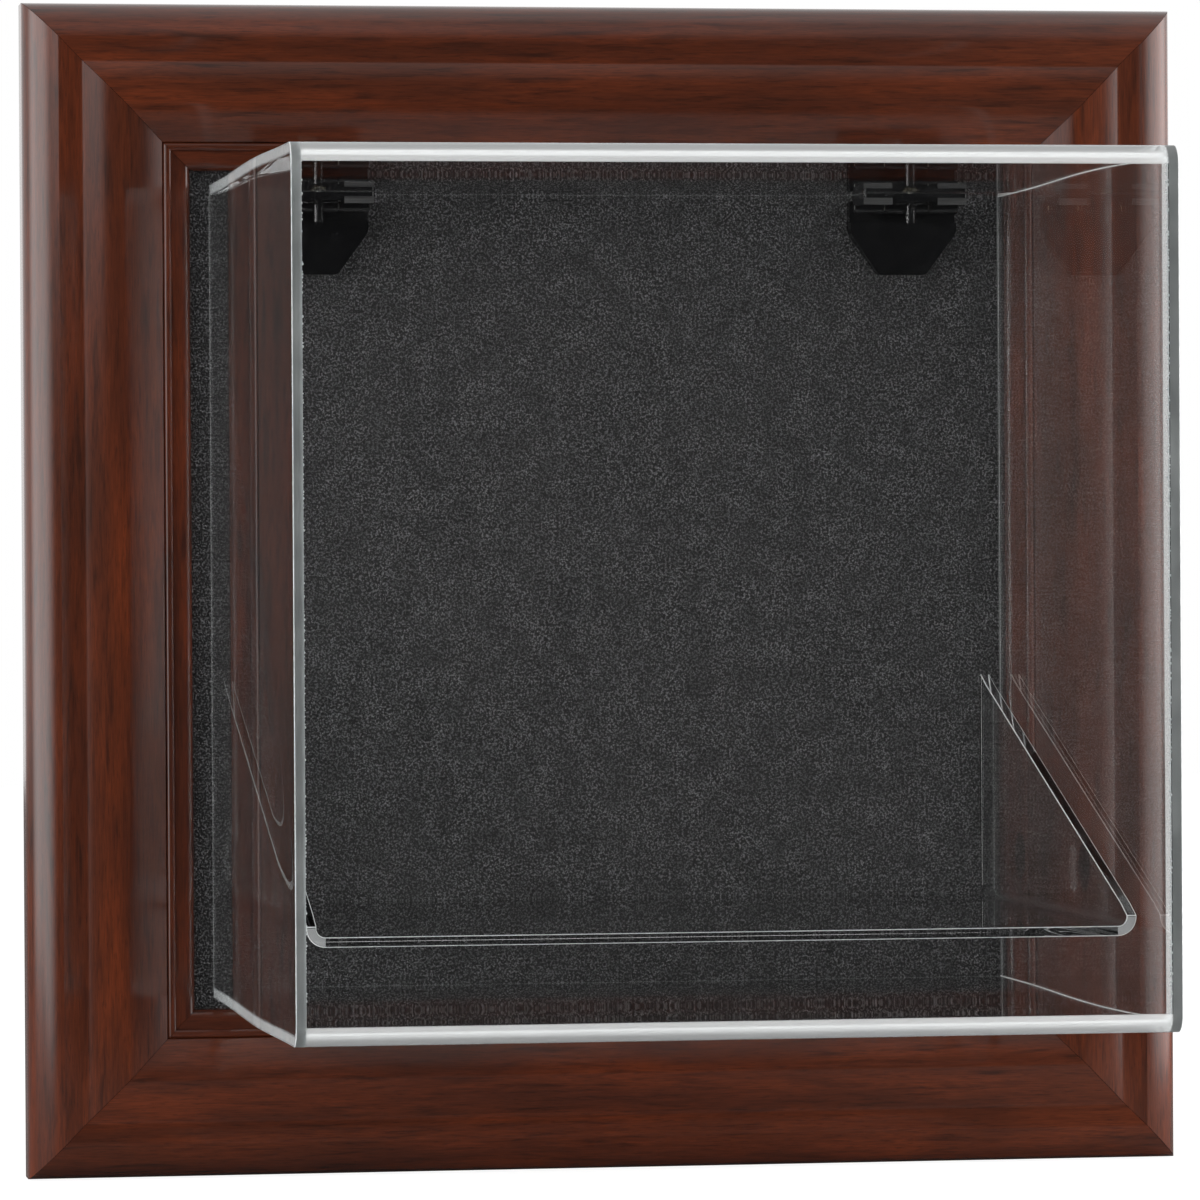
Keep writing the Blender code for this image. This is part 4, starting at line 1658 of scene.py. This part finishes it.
    def cuts(self) -> list[bpy.types.Mesh]:
        """The notch round each hinge and the hole for its screw.

        Returns:
            The shapes to cut with.
        """
        cuts = []
        for hand in Hand:
            low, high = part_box(f"leaf_screw_{hand.word}")
            x, y = (low.x + high.x) / 2, (low.y + high.y) / 2
            corners = rectangle(self.notch_width, 2 * self.notch_reach)
            notch = rounded(corners, [self.notch_corner] * 4, 4)
            below, above = self.top - 2 * self.sheet, self.top + 2 * self.sheet
            cuts.append(prism(notch, below, above, Matrix.Translation((x, 0, 0))))
            cuts.append(prism(circle((x, y), self.hole_radius, 20), below, above))
        return cuts

    def glue_sheet(self, x: float, start: float) -> bpy.types.Mesh:
        """The film of glue between the folded sheet's end and a side panel, its edges uneven.

        Args:
            x: Where the joint lies.
            start: The share of the sheet's thickness, from outside, that the glue left dry.

        Returns:
            The film's mesh.
        """
        shape = bmesh.new()
        rows = []
        share = self.glue_inset / self.sheet
        levels = [x + sign * self.glue_half for sign in (-1, 1)]
        for i, ((py, pz), (qy, qz)) in enumerate(zip(self.outer, self.inner)):
            wander = 0.5 + 0.5 * sin(7.3 * i + 40 * x) * sin(2.9 * i)
            limits = (start + share * wander, 1 - share * (2 - wander))
            ends = [(py + (qy - py) * t, pz + (qz - pz) * t) for t in limits]
            rows.append([shape.verts.new((level, y, z)) for level in levels for y, z in ends])
        for row, after in zip(rows, rows[1:]):
            for j, k in ((0, 1), (1, 3), (3, 2), (2, 0)):
                shape.faces.new((row[j], row[k], after[k], after[j]))
        for end in (rows[0], rows[-1]):
            shape.faces.new((end[0], end[1], end[3], end[2]))
        return settled(shape, "glue")

    def joint_line(self) -> bpy.types.Mesh:
        """The inner corner of both glued joints behind the cover's front, as lines.

        Returns:
            The mesh, of edges alone.
        """
        line = bpy.data.meshes.new("glue_drops")
        fore = [(y, z) for y, z in self.inner if y < self.front + self.bend]
        corners = [(x, y, z) for x in self.levels[1:3] for y, z in fore]
        count = len(fore)
        joints = [(i, i + 1) for i in range(2 * count - 1) if i != count - 1]
        line.from_pydata(corners, joints, [])
        return line

    def build(self, finishes: Finishes) -> None:
        """Makes and dresses the cover and its glue.

        Args:
            finishes: The shared materials.
        """
        cover = add("cover_shell", self.shell())
        dress(cover, *finishes.sheet)
        cuts = self.cuts()
        mark_cuts(cuts, finishes.sheet[Sheet.CLEAR], finishes.sheet[Sheet.SAWN])
        combine(cover, cuts)
        # The rounded edges take the near-white arris finish, a painted highlight.
        soften(cover, self.edge, 2, finish=Sheet.ARRIS)
        smooth(cover, 20)
        mount(cover, Body.COVER, Slot.ACRYLIC, "cover_wrap", "cover_side_left", "cover_side_right")
        for hand, x, start in zip(Hand, self.levels[1:3], self.glue_starts):
            film = add(f"glue_line_{hand.word}", self.glue_sheet(x, start))
            dress(film, finishes.glue)
            mount(film, Body.COVER, Slot.ACRYLIC)
        drops = add("glue_drops", self.joint_line())
        least, most = self.drop_sizes
        bubble_tree().run(drops, Step=self.drop_step, Least=least, Most=most,
                          Scatter=self.drop_scatter, Seed=self.drop_seed, Material=finishes.glue)
        drops.data.shade_smooth()
        mount(drops, Body.COVER, Slot.ACRYLIC)


@dataclass
class Cradle:
    """The clear shelf folded up into two triangular wings, and the pads that carry it."""

    sheet: float = 0.0032
    bend: float = 0.006
    front_rise: float = 0.0072
    tip: float = 0.002
    edge: float = 0.00028
    pad_edge: float = 0.0004
    pad_grip: float = 0.0005
    wing_steps: int = 24

    def __post_init__(self) -> None:
        """Takes the cradle's place from the model."""
        self.low, self.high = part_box("cradle")

    def front_at(self, z: float) -> float:
        """How far forward the sheet reaches at a height, by the slanting cut of the wings.

        Args:
            z: The height.

        Returns:
            The place along Y.
        """
        start = self.low.z + self.front_rise
        slant = (self.high.y - self.low.y) / (self.high.z - start)
        return min(self.low.y + max(0.0, z - start) * slant, self.high.y - self.tip)

    def in_bend(self, point: Vector) -> bool:
        """Whether a point of the sheet lies in one of its two bends.

        Args:
            point: The point.

        Returns:
            True where it does.
        """
        reach = self.bend + TOUCH
        middle = (self.low.x + self.high.x) / 2
        return point.z < self.low.z + reach and abs(point.x - middle) > self.high.x - middle - reach

    def under_rear(self, point: Vector) -> bool:
        """Whether a point lies at the rear edge of the shelf's floor, whose corners stay clear."""
        return point.y > self.high.y - 2 * self.edge and point.z < self.low.z + self.bend

    def build_shelf(self, finishes: Finishes) -> None:
        """Makes and dresses the folded shelf.

        Args:
            finishes: The shared materials.
        """
        low, high, bend = self.low, self.high, self.bend
        foot = low.z + bend + BEND_MARGIN
        steps = range(self.wing_steps - 2)
        wing = [(low.x, high.z - (high.z - low.z) * i / self.wing_steps) for i in steps]
        half = [point for point in wing if point[1] > foot] + [(low.x, foot)]
        half += arc((low.x + bend, low.z + bend), bend, bend, 180, 270, 16)
        half += [(low.x + bend + BEND_MARGIN, low.z)]
        centre = (low.x + high.x) / 2
        path = half + [(2 * centre - x, z) for x, z in reversed(half)]
        lines = (path, inner_side(path, self.sheet))
        shape = bmesh.new()
        fore, fore_in = (
            [shape.verts.new((x, self.front_at(z), z)) for x, z in line] for line in lines
        )
        aft, aft_in = ([shape.verts.new((x, high.y, z)) for x, z in line] for line in lines)
        strips = ((fore, aft), (fore_in, aft_in), (fore, fore_in), (aft, aft_in))
        for first, second in strips:
            for i in range(len(first) - 1):
                face = shape.faces.new((first[i], first[i + 1], second[i + 1], second[i]))
                folded = all(self.in_bend(vertex.co) for vertex in first[i:i + 2])
                # The folded front edge takes the bent finish, partly real hazing and partly a painted
                # highlight.
                hazed = folded and second is fore_in
                face.material_index = Sheet.BENT if hazed else Sheet.CLEAR
        for end in (0, -1):
            shape.faces.new((fore[end], aft[end], aft_in[end], fore_in[end]))
        shelf = add("cradle_shelf", settled(shape, "cradle_shelf"))
        dress(shelf, *finishes.sheet[:Sheet.DUSTY])
        # The rounded edges take the near-white arris finish, a painted highlight.
        soften(shelf, self.edge, 2, finish=Sheet.ARRIS)
        for face in shelf.data.polygons:
            if self.under_rear(face.center):
                face.material_index = Sheet.CLEAR
        smooth(shelf, 20)
        mount(shelf, Body.COVER, Slot.ACRYLIC, "cradle")

    def build_pads(self, finishes: Finishes) -> None:
        """Makes and dresses the four pads between the wings and the cover's sides.

        Args:
            finishes: The shared materials.
        """
        for hand in Hand:
            for place in (1, 2):
                node = f"cradle_pad_{hand.word}_{place}"
                low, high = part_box(node)
                radius, half = (high.z - low.z) / 2, (high.x - low.x) / 2 + self.pad_grip / 2
                edge = self.pad_edge
                profile = [(0, half), (radius - edge, half), (radius, half - edge)]
                profile += [(radius, edge - half), (radius - edge, -half), (0, -half)]
                turn = Matrix.Translation((low + high) / 2) @ LAID_ALONG_X
                pad = add(f"cradle_spacer_{hand.word}_{place}", lathe(profile, 40, turn))
                smooth(pad, 30)
                dress(pad, finishes.gel)
                mount(pad, Body.COVER, Slot.ACRYLIC, node)

    def build(self, finishes: Finishes) -> None:
        """Makes and dresses the cradle."""
        self.build_shelf(finishes)
        self.build_pads(finishes)


@dataclass
class Hinges:
    """The two hinges: a bracket on the panel, a leaf under the cover's top, and a rod."""

    axis: Vector
    panel: float
    knuckle: float = 0.0022
    rod: float = 0.0010
    rod_dome: float = 0.0004
    bore: float = 0.0013
    width: float = 0.036
    arm_width: float = 0.015
    ear_gap: float = 0.0004
    base_width: float = 0.0371
    base_rise: float = 0.0026
    base_height: float = 0.0255
    base_side: float = 0.0112
    base_foot: float = 0.0165
    base_corners: tuple[float, ...] = (0.001, 0.001, 0.005, 0.0025, 0.0025, 0.005)
    base_edge: float = 0.0003
    upper: float = 0.0045
    ledge: float = 0.0076
    lower: float = 0.0042
    ledge_drop: float = 0.0050
    arm_root: float = 0.003
    arm_heel: float = 0.007
    arm_drop: float = 0.0034
    leaf_corner: float = 0.001
    leaf_notch: float = 0.0235
    leaf_gap: float = 0.00035
    leaf_edge: float = 0.00022
    cheek_height: float = 0.0037
    hub_height: float = 0.0027
    hub_recess: float = 0.0015
    boss_radius: float = 0.0018
    screw_bore: float = 0.0011
    seat: float = 0.0003
    spare: float = 0.001

    def ahead(self, reach: float, rise: float) -> Point:
        """A point by its reach in front of the panel and its rise above the axis."""
        return (self.panel - reach, self.axis.z + rise)

    def knuckle_bore(self, centre: float) -> bpy.types.Mesh:
        """The hole for the rod."""
        ring = circle((self.axis.y, self.axis.z), self.bore, 24)
        return prism(ring, centre - self.width, centre + self.width, SIDEWAYS)

    def bracket(self, hand: Hand, centre: float, finishes: Finishes) -> None:
        """Makes and dresses a bracket: a shield-shaped wedge with an arm to the middle knuckle.

        Args:
            hand: Which hinge it belongs to.
            centre: The hinge's middle along X.
            finishes: The shared materials.
        """
        foot, spare, half = self.base_rise - self.base_height, self.spare, self.base_width / 2
        wedge = [
            self.ahead(self.seat, self.base_rise + spare),
            self.ahead(self.upper, self.base_rise + spare),
            self.ahead(self.upper, -self.ledge_drop),
            self.ahead(self.ledge, -self.ledge_drop),
            self.ahead(self.lower, foot - spare),
            self.ahead(self.seat, foot - spare),
        ]
        shoulder, toe = self.base_rise - self.base_side, self.base_foot / 2
        corners = [(half, self.base_rise), (-half, self.base_rise), (-half, shoulder)]
        corners += [(-toe, foot), (toe, foot), (half, shoulder)]
        shield = rounded(corners, self.base_corners, 10)
        turn = Matrix.Translation((centre, self.axis.y, self.axis.z)) @ UPRIGHT
        round_end = arc((self.axis.y, self.axis.z), self.knuckle, self.knuckle, 90, 270, 20)
        heel = [self.ahead(self.arm_heel, -self.arm_drop), self.ahead(self.arm_root, -self.arm_drop)]
        arm = [self.ahead(self.arm_root, self.knuckle)] + round_end + heel
        solid = prism(wedge, centre - 2 * half, centre + 2 * half, SIDEWAYS)
        piece = add(f"hinge_bracket_{hand.word}", solid)
        combine(piece, [prism(shield, -2 * half, 2 * half, turn)], "INTERSECT")
        arm_half = self.arm_width / 2
        combine(piece, [prism(arm, centre - arm_half, centre + arm_half, SIDEWAYS)], "UNION")
        combine(piece, [self.knuckle_bore(centre)])
        soften(piece, self.base_edge, 3, 50)
        dress(piece, finishes.plastic)
        mount(piece, Body.FRAME, Slot.PLASTIC, f"hinge_base_{hand.word}")

    def leaf(self, hand: Hand, centre: float, finishes: Finishes) -> None:
        """Makes and dresses a leaf: a plate with ears on the rod, cheeks and a boss for its screw.

        Args:
            hand: Which hinge it belongs to.
            centre: The hinge's middle along X.
            finishes: The shared materials.
        """
        node = f"hinge_leaf_{hand.word}"
        low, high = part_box(node)
        side, ear_inner = (high.x - low.x) / 2, self.arm_width / 2 + self.ear_gap
        under = self.axis.z + self.knuckle + self.leaf_gap
        corners = [(-side, high.y), (-side, low.y), (side, low.y), (side, high.y)]
        corners += [(ear_inner, high.y), (ear_inner, -self.leaf_notch)]
        corners += [(-ear_inner, -self.leaf_notch), (-ear_inner, high.y)]
        outline = rounded(corners, [0, self.leaf_corner, self.leaf_corner, 0, 0, 0, 0, 0], 10)
        flap = prism(outline, under, high.z, Matrix.Translation((centre, 0, 0)))
        piece = add(f"hinge_flap_{hand.word}", flap)
        ear = arc((self.axis.y, self.axis.z), self.knuckle, self.knuckle, 0, -180, 20)
        middle = (under + high.z) / 2
        ear += [(self.axis.y - self.knuckle, middle), (self.axis.y + self.knuckle, middle)]
        cheek = [(low.y + self.leaf_corner, high.z), (self.axis.y, high.z)]
        cheek += [(y, high.z - self.cheek_height) for y, _ in reversed(cheek)]
        hub = [(low.y + self.hub_recess, high.z), (-self.leaf_notch, high.z)]
        hub += [(y, high.z - self.hub_height) for y, _ in reversed(hub)]
        hub_half = ear_inner + self.ear_gap / 2
        joins = [prism(hub, centre - hub_half, centre + hub_half, SIDEWAYS)]
        for sign in (-1, 1):
            ends = sorted((centre + sign * ear_inner, centre + sign * self.width / 2))
            joins += [prism(ear, *ends, SIDEWAYS), prism(cheek, *ends, SIDEWAYS)]
        screw_low, screw_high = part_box(f"leaf_screw_{hand.word}")
        spot = (centre, (screw_low.y + screw_high.y) / 2)
        joins.append(prism(circle(spot, self.boss_radius, 40), low.z, middle))
        combine(piece, joins, "UNION")
        screw_hole = prism(circle(spot, self.screw_bore, 20), screw_low.z, high.z + self.spare)
        combine(piece, [self.knuckle_bore(centre), screw_hole])
        soften(piece, self.leaf_edge, 3, 50)
        # The ears' fronts take the paler plastic, a painted sheen for the light on them.
        for face in piece.data.polygons:
            fore = face.normal.y < -FACING and face.center.y < low.y + 1.2 * self.leaf_corner
            dull = fore and abs(face.center.x - centre) > ear_inner / 2
            face.material_index = SECOND if dull else 0
        dress(piece, finishes.plastic, finishes.satin)
        mount(piece, Body.COVER, Slot.PLASTIC, node)

    def pin(self, hand: Hand, centre: float, finishes: Finishes) -> None:
        """Makes and dresses a rod with rounded ends.

        Args:
            hand: Which hinge it belongs to.
            centre: The hinge's middle along X.
            finishes: The shared materials.
        """
        half, dome = self.width / 2, self.rod_dome
        cap = arc((0, half - dome), self.rod, dome, 90, 0, 4)
        end = [(0, half)] + cap[1:]
        profile = end + [(radius, -height) for radius, height in reversed(end)]
        place = Matrix.Translation((centre, self.axis.y, self.axis.z)) @ LAID_ALONG_X
        piece = add(f"hinge_rod_{hand.word}", lathe(profile, 20, place))
        smooth(piece, 40)
        dress(piece, finishes.steel)
        mount(piece, Body.FRAME, Slot.STEEL, f"hinge_pin_{hand.word}")

    def build(self, finishes: Finishes) -> None:
        """Makes and dresses both hinges.

        Args:
            finishes: The shared materials.
        """
        for hand in Hand:
            low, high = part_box(f"hinge_pin_{hand.word}")
            centre = (low.x + high.x) / 2
            self.bracket(hand, centre, finishes)
            self.leaf(hand, centre, finishes)
            self.pin(hand, centre, finishes)


@dataclass(frozen=True)
class Lamp:
    """A soft rectangular lamp aimed at the case. Its turn runs to the right of straight ahead."""

    name: str
    turn: float
    rise: float
    distance: float
    width: float
    height: float
    power: float
    glossy: bool = True
    through: bool = True
    full: float = 0.12

    def fade(self, light: bpy.types.NodeTree) -> None:
        """Fades the lamp smoothly from its middle, which is full on, to its rim.

        Args:
            light: The lamp's own node tree.
        """
        tree = NodeTree(light)
        across = tree.nodes.new("ShaderNodeNewGeometry").outputs["Parametric"]
        shares = []
        for axis in "XY":
            middle = tree.sum(tree.part(across, axis), 0.5, "SUBTRACT")
            reach = tree.sum(middle, 0.0, "ABSOLUTE")
            shares.append(tree.spread(reach, 0.5, self.full, ramp="SMOOTHSTEP"))
        tree.links.new(tree.times(*shares), tree.nodes["Emission"].inputs["Strength"])

    def build(self) -> None:
        """Hangs the lamp."""
        data = bpy.data.lights.new(self.name, "AREA")
        data.shape = "RECTANGLE"
        data.size = self.width
        data.size_y = self.height
        data.energy = self.power
        data.use_nodes = True
        self.fade(data.node_tree)
        lamp = add(self.name, data)
        turn, rise = radians(self.turn), radians(self.rise)
        away = Vector((sin(turn) * cos(rise), -cos(turn) * cos(rise), sin(rise)))
        lamp.location = away * self.distance
        lamp.rotation_euler = (-away).to_track_quat("-Z", "Y").to_euler()
        lamp.visible_camera = False
        lamp.visible_glossy = self.glossy
        lamp.visible_transmission = self.through


@dataclass
class Studio:
    """The floor, the lamps, the white surroundings and the camera."""

    floor_level: float
    floor_half: float = 4.0
    floor_front: float = -0.45
    floor_glow: float = 1.22
    floor_share: float = 0.75
    floor_loss: float = 0.75
    floor_colour: Colour = (0.82, 0.82, 0.82, 1)
    ambient: float = 0.56
    dim: float = 0.02
    # For each kind of ray, how far ahead it points where the room is dim and where it is white
    rays: tuple[tuple[str, float, float], ...] = (
        ("Is Glossy Ray", -0.4, 0.0),
        ("Is Transmission Ray", -0.65, -0.1),
        ("Is Camera Ray", -2.0, -1.0),
    )
    azimuth: float = 9.1175
    elevation: float = 0.3416
    roll: float = -0.333
    focal: float = 6735.9
    distance: float = 2.3326
    target: Triple = (-0.0001, 0.0, -0.0043)
    lamps: tuple[Lamp, ...] = (
        Lamp("lamp_left", -71, 6, 1.3, 1.8, 1.8, 41.0),
        Lamp("lamp_near_left", -33, 18, 1.3, 0.6, 0.7, 2.5),
        Lamp("lamp_right", 82, 4, 0.62, 0.8, 1.2, 10.5, through=False),
        Lamp("lamp_above", 20, 62, 1.5, 2.2, 1.8, 7.5),
        Lamp("lamp_fill", 50, -8, 1.0, 0.9, 0.9, 17.0, glossy=False, through=False),
    )

    def build_floor(self) -> None:
        """A pale floor that looks white and still takes a faint shadow."""
        half, level = self.floor_half, self.floor_level
        mesh = bpy.data.meshes.new("floor")
        ends = ((-half, self.floor_front), (half, self.floor_front), (half, half), (-half, half))
        corners = [(x, y, level) for x, y in ends]
        mesh.from_pydata(corners, [], [(0, 1, 2, 3)])
        floor = add("floor", mesh)
        tree = ShaderTree("floor_white")
        tree.shade(Base_Color=self.floor_colour, Roughness=0.9)
        path = tree.nodes.new("ShaderNodeLightPath").outputs
        seen = tree.sum(path["Is Camera Ray"], path["Is Transmission Ray"], "MAXIMUM")
        white = tree.nodes.new("ShaderNodeEmission")
        white.inputs["Strength"].default_value = self.floor_glow
        tree.overlay(tree.times(seen, self.floor_share), white.outputs["Emission"])
        mirrored = tree.sum(path["Glossy Depth"], 1.0, "MINIMUM")
        tree.overlay(tree.times(mirrored, self.floor_loss), None)
        dress(floor, tree.material)
        floor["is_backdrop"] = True

    def build_surroundings(self) -> None:
        """White behind the case, in sight and in gloss, and a dim room behind the camera."""
        world = bpy.data.worlds.new("studio")
        bpy.context.scene.world = world
        world.use_nodes = True
        tree = NodeTree(world.node_tree)
        ground = tree.nodes["Background"]
        ground.inputs["Color"].default_value = (1, 1, 1, 1)
        path = tree.nodes.new("ShaderNodeLightPath")
        ahead = tree.part(tree.nodes.new("ShaderNodeTexCoord").outputs["Generated"], "Y")
        level: object = self.ambient
        for ray, dim_end, white_end in self.rays:
            choice = tree.nodes.new("ShaderNodeMix")
            choice.data_type = "FLOAT"
            room = tree.spread(ahead, dim_end, white_end, self.dim)
            for socket, value in ((0, path.outputs[ray]), (2, level), (3, room)):
                tree.feed(choice.inputs[socket], value)
            level = choice.outputs[0]
        tree.feed(ground.inputs["Strength"], level)

    def build_camera(self) -> None:
        """The camera at the photograph's viewing angle."""
        data = bpy.data.cameras.new("camera")
        data.sensor_fit = "HORIZONTAL"
        data.lens = data.sensor_width * self.focal / PICTURE_SIDE
        camera = add("camera", data)
        turn, rise, roll = (radians(a) for a in (self.azimuth, self.elevation, self.roll))
        ahead = Vector((sin(turn) * cos(rise), cos(turn) * cos(rise), -sin(rise)))
        right = Vector((cos(turn), -sin(turn), 0))
        up = right.cross(ahead)
        rolled_right = cos(roll) * right + sin(roll) * up
        rolled_up = cos(roll) * up - sin(roll) * right
        place = Matrix((rolled_right, rolled_up, -ahead)).transposed().to_4x4()
        place.translation = Vector(self.target) - self.distance * ahead
        camera.matrix_world = place
        bpy.context.scene.camera = camera

    def build(self) -> None:
        """Makes the stage, lights it and sets the camera."""
        self.build_floor()
        self.build_surroundings()
        self.build_camera()
        for lamp in self.lamps:
            lamp.build()
        bpy.context.scene.view_settings.view_transform = "Standard"


def clear_scene() -> None:
    """Removes what the file opened with."""
    for obj in list(bpy.data.objects):
        bpy.data.objects.remove(obj)


def main() -> None:
    """Builds the case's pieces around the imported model, and the studio around them."""
    logging.basicConfig(level=logging.INFO, format="%(name)s: %(message)s")
    clear_scene()
    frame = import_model()
    model_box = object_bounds()
    nodes = frame["nodes"]
    axis = Vector(frame["joints"][0]["pos_m"])
    panel_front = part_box("back_panel")[0].y
    finishes = Finishes()

    Moulding(half=model_box[1].x).build()
    dress(nodes["back_panel"], PebbledBoard(panel_front).material("board_pebbled"))
    for i in range(4):
        dress(nodes[f"mitre_nail_{i + 1}"], finishes.steel)
    Hangers().build(finishes)
    ScrewSet("panel_screws", tuple(f"panel_screw_{i + 1}" for i in range(8))).build(finishes)
    for stem in ("hanger", "hinge"):
        names = tuple(f"{stem}_screw_{hand.word}_{i}" for hand in Hand for i in (1, 2))
        ScrewSet(f"{stem}_screws", names).build(finishes)
    Hinges(axis, panel_front).build(finishes)
    Cover(axis).build(finishes)
    LeafScrews().build(finishes)
    Cradle().build(finishes)
    Studio(floor_level=model_box[0].z - FLOOR_GAP).build()


if __name__ == "__main__":
    main()
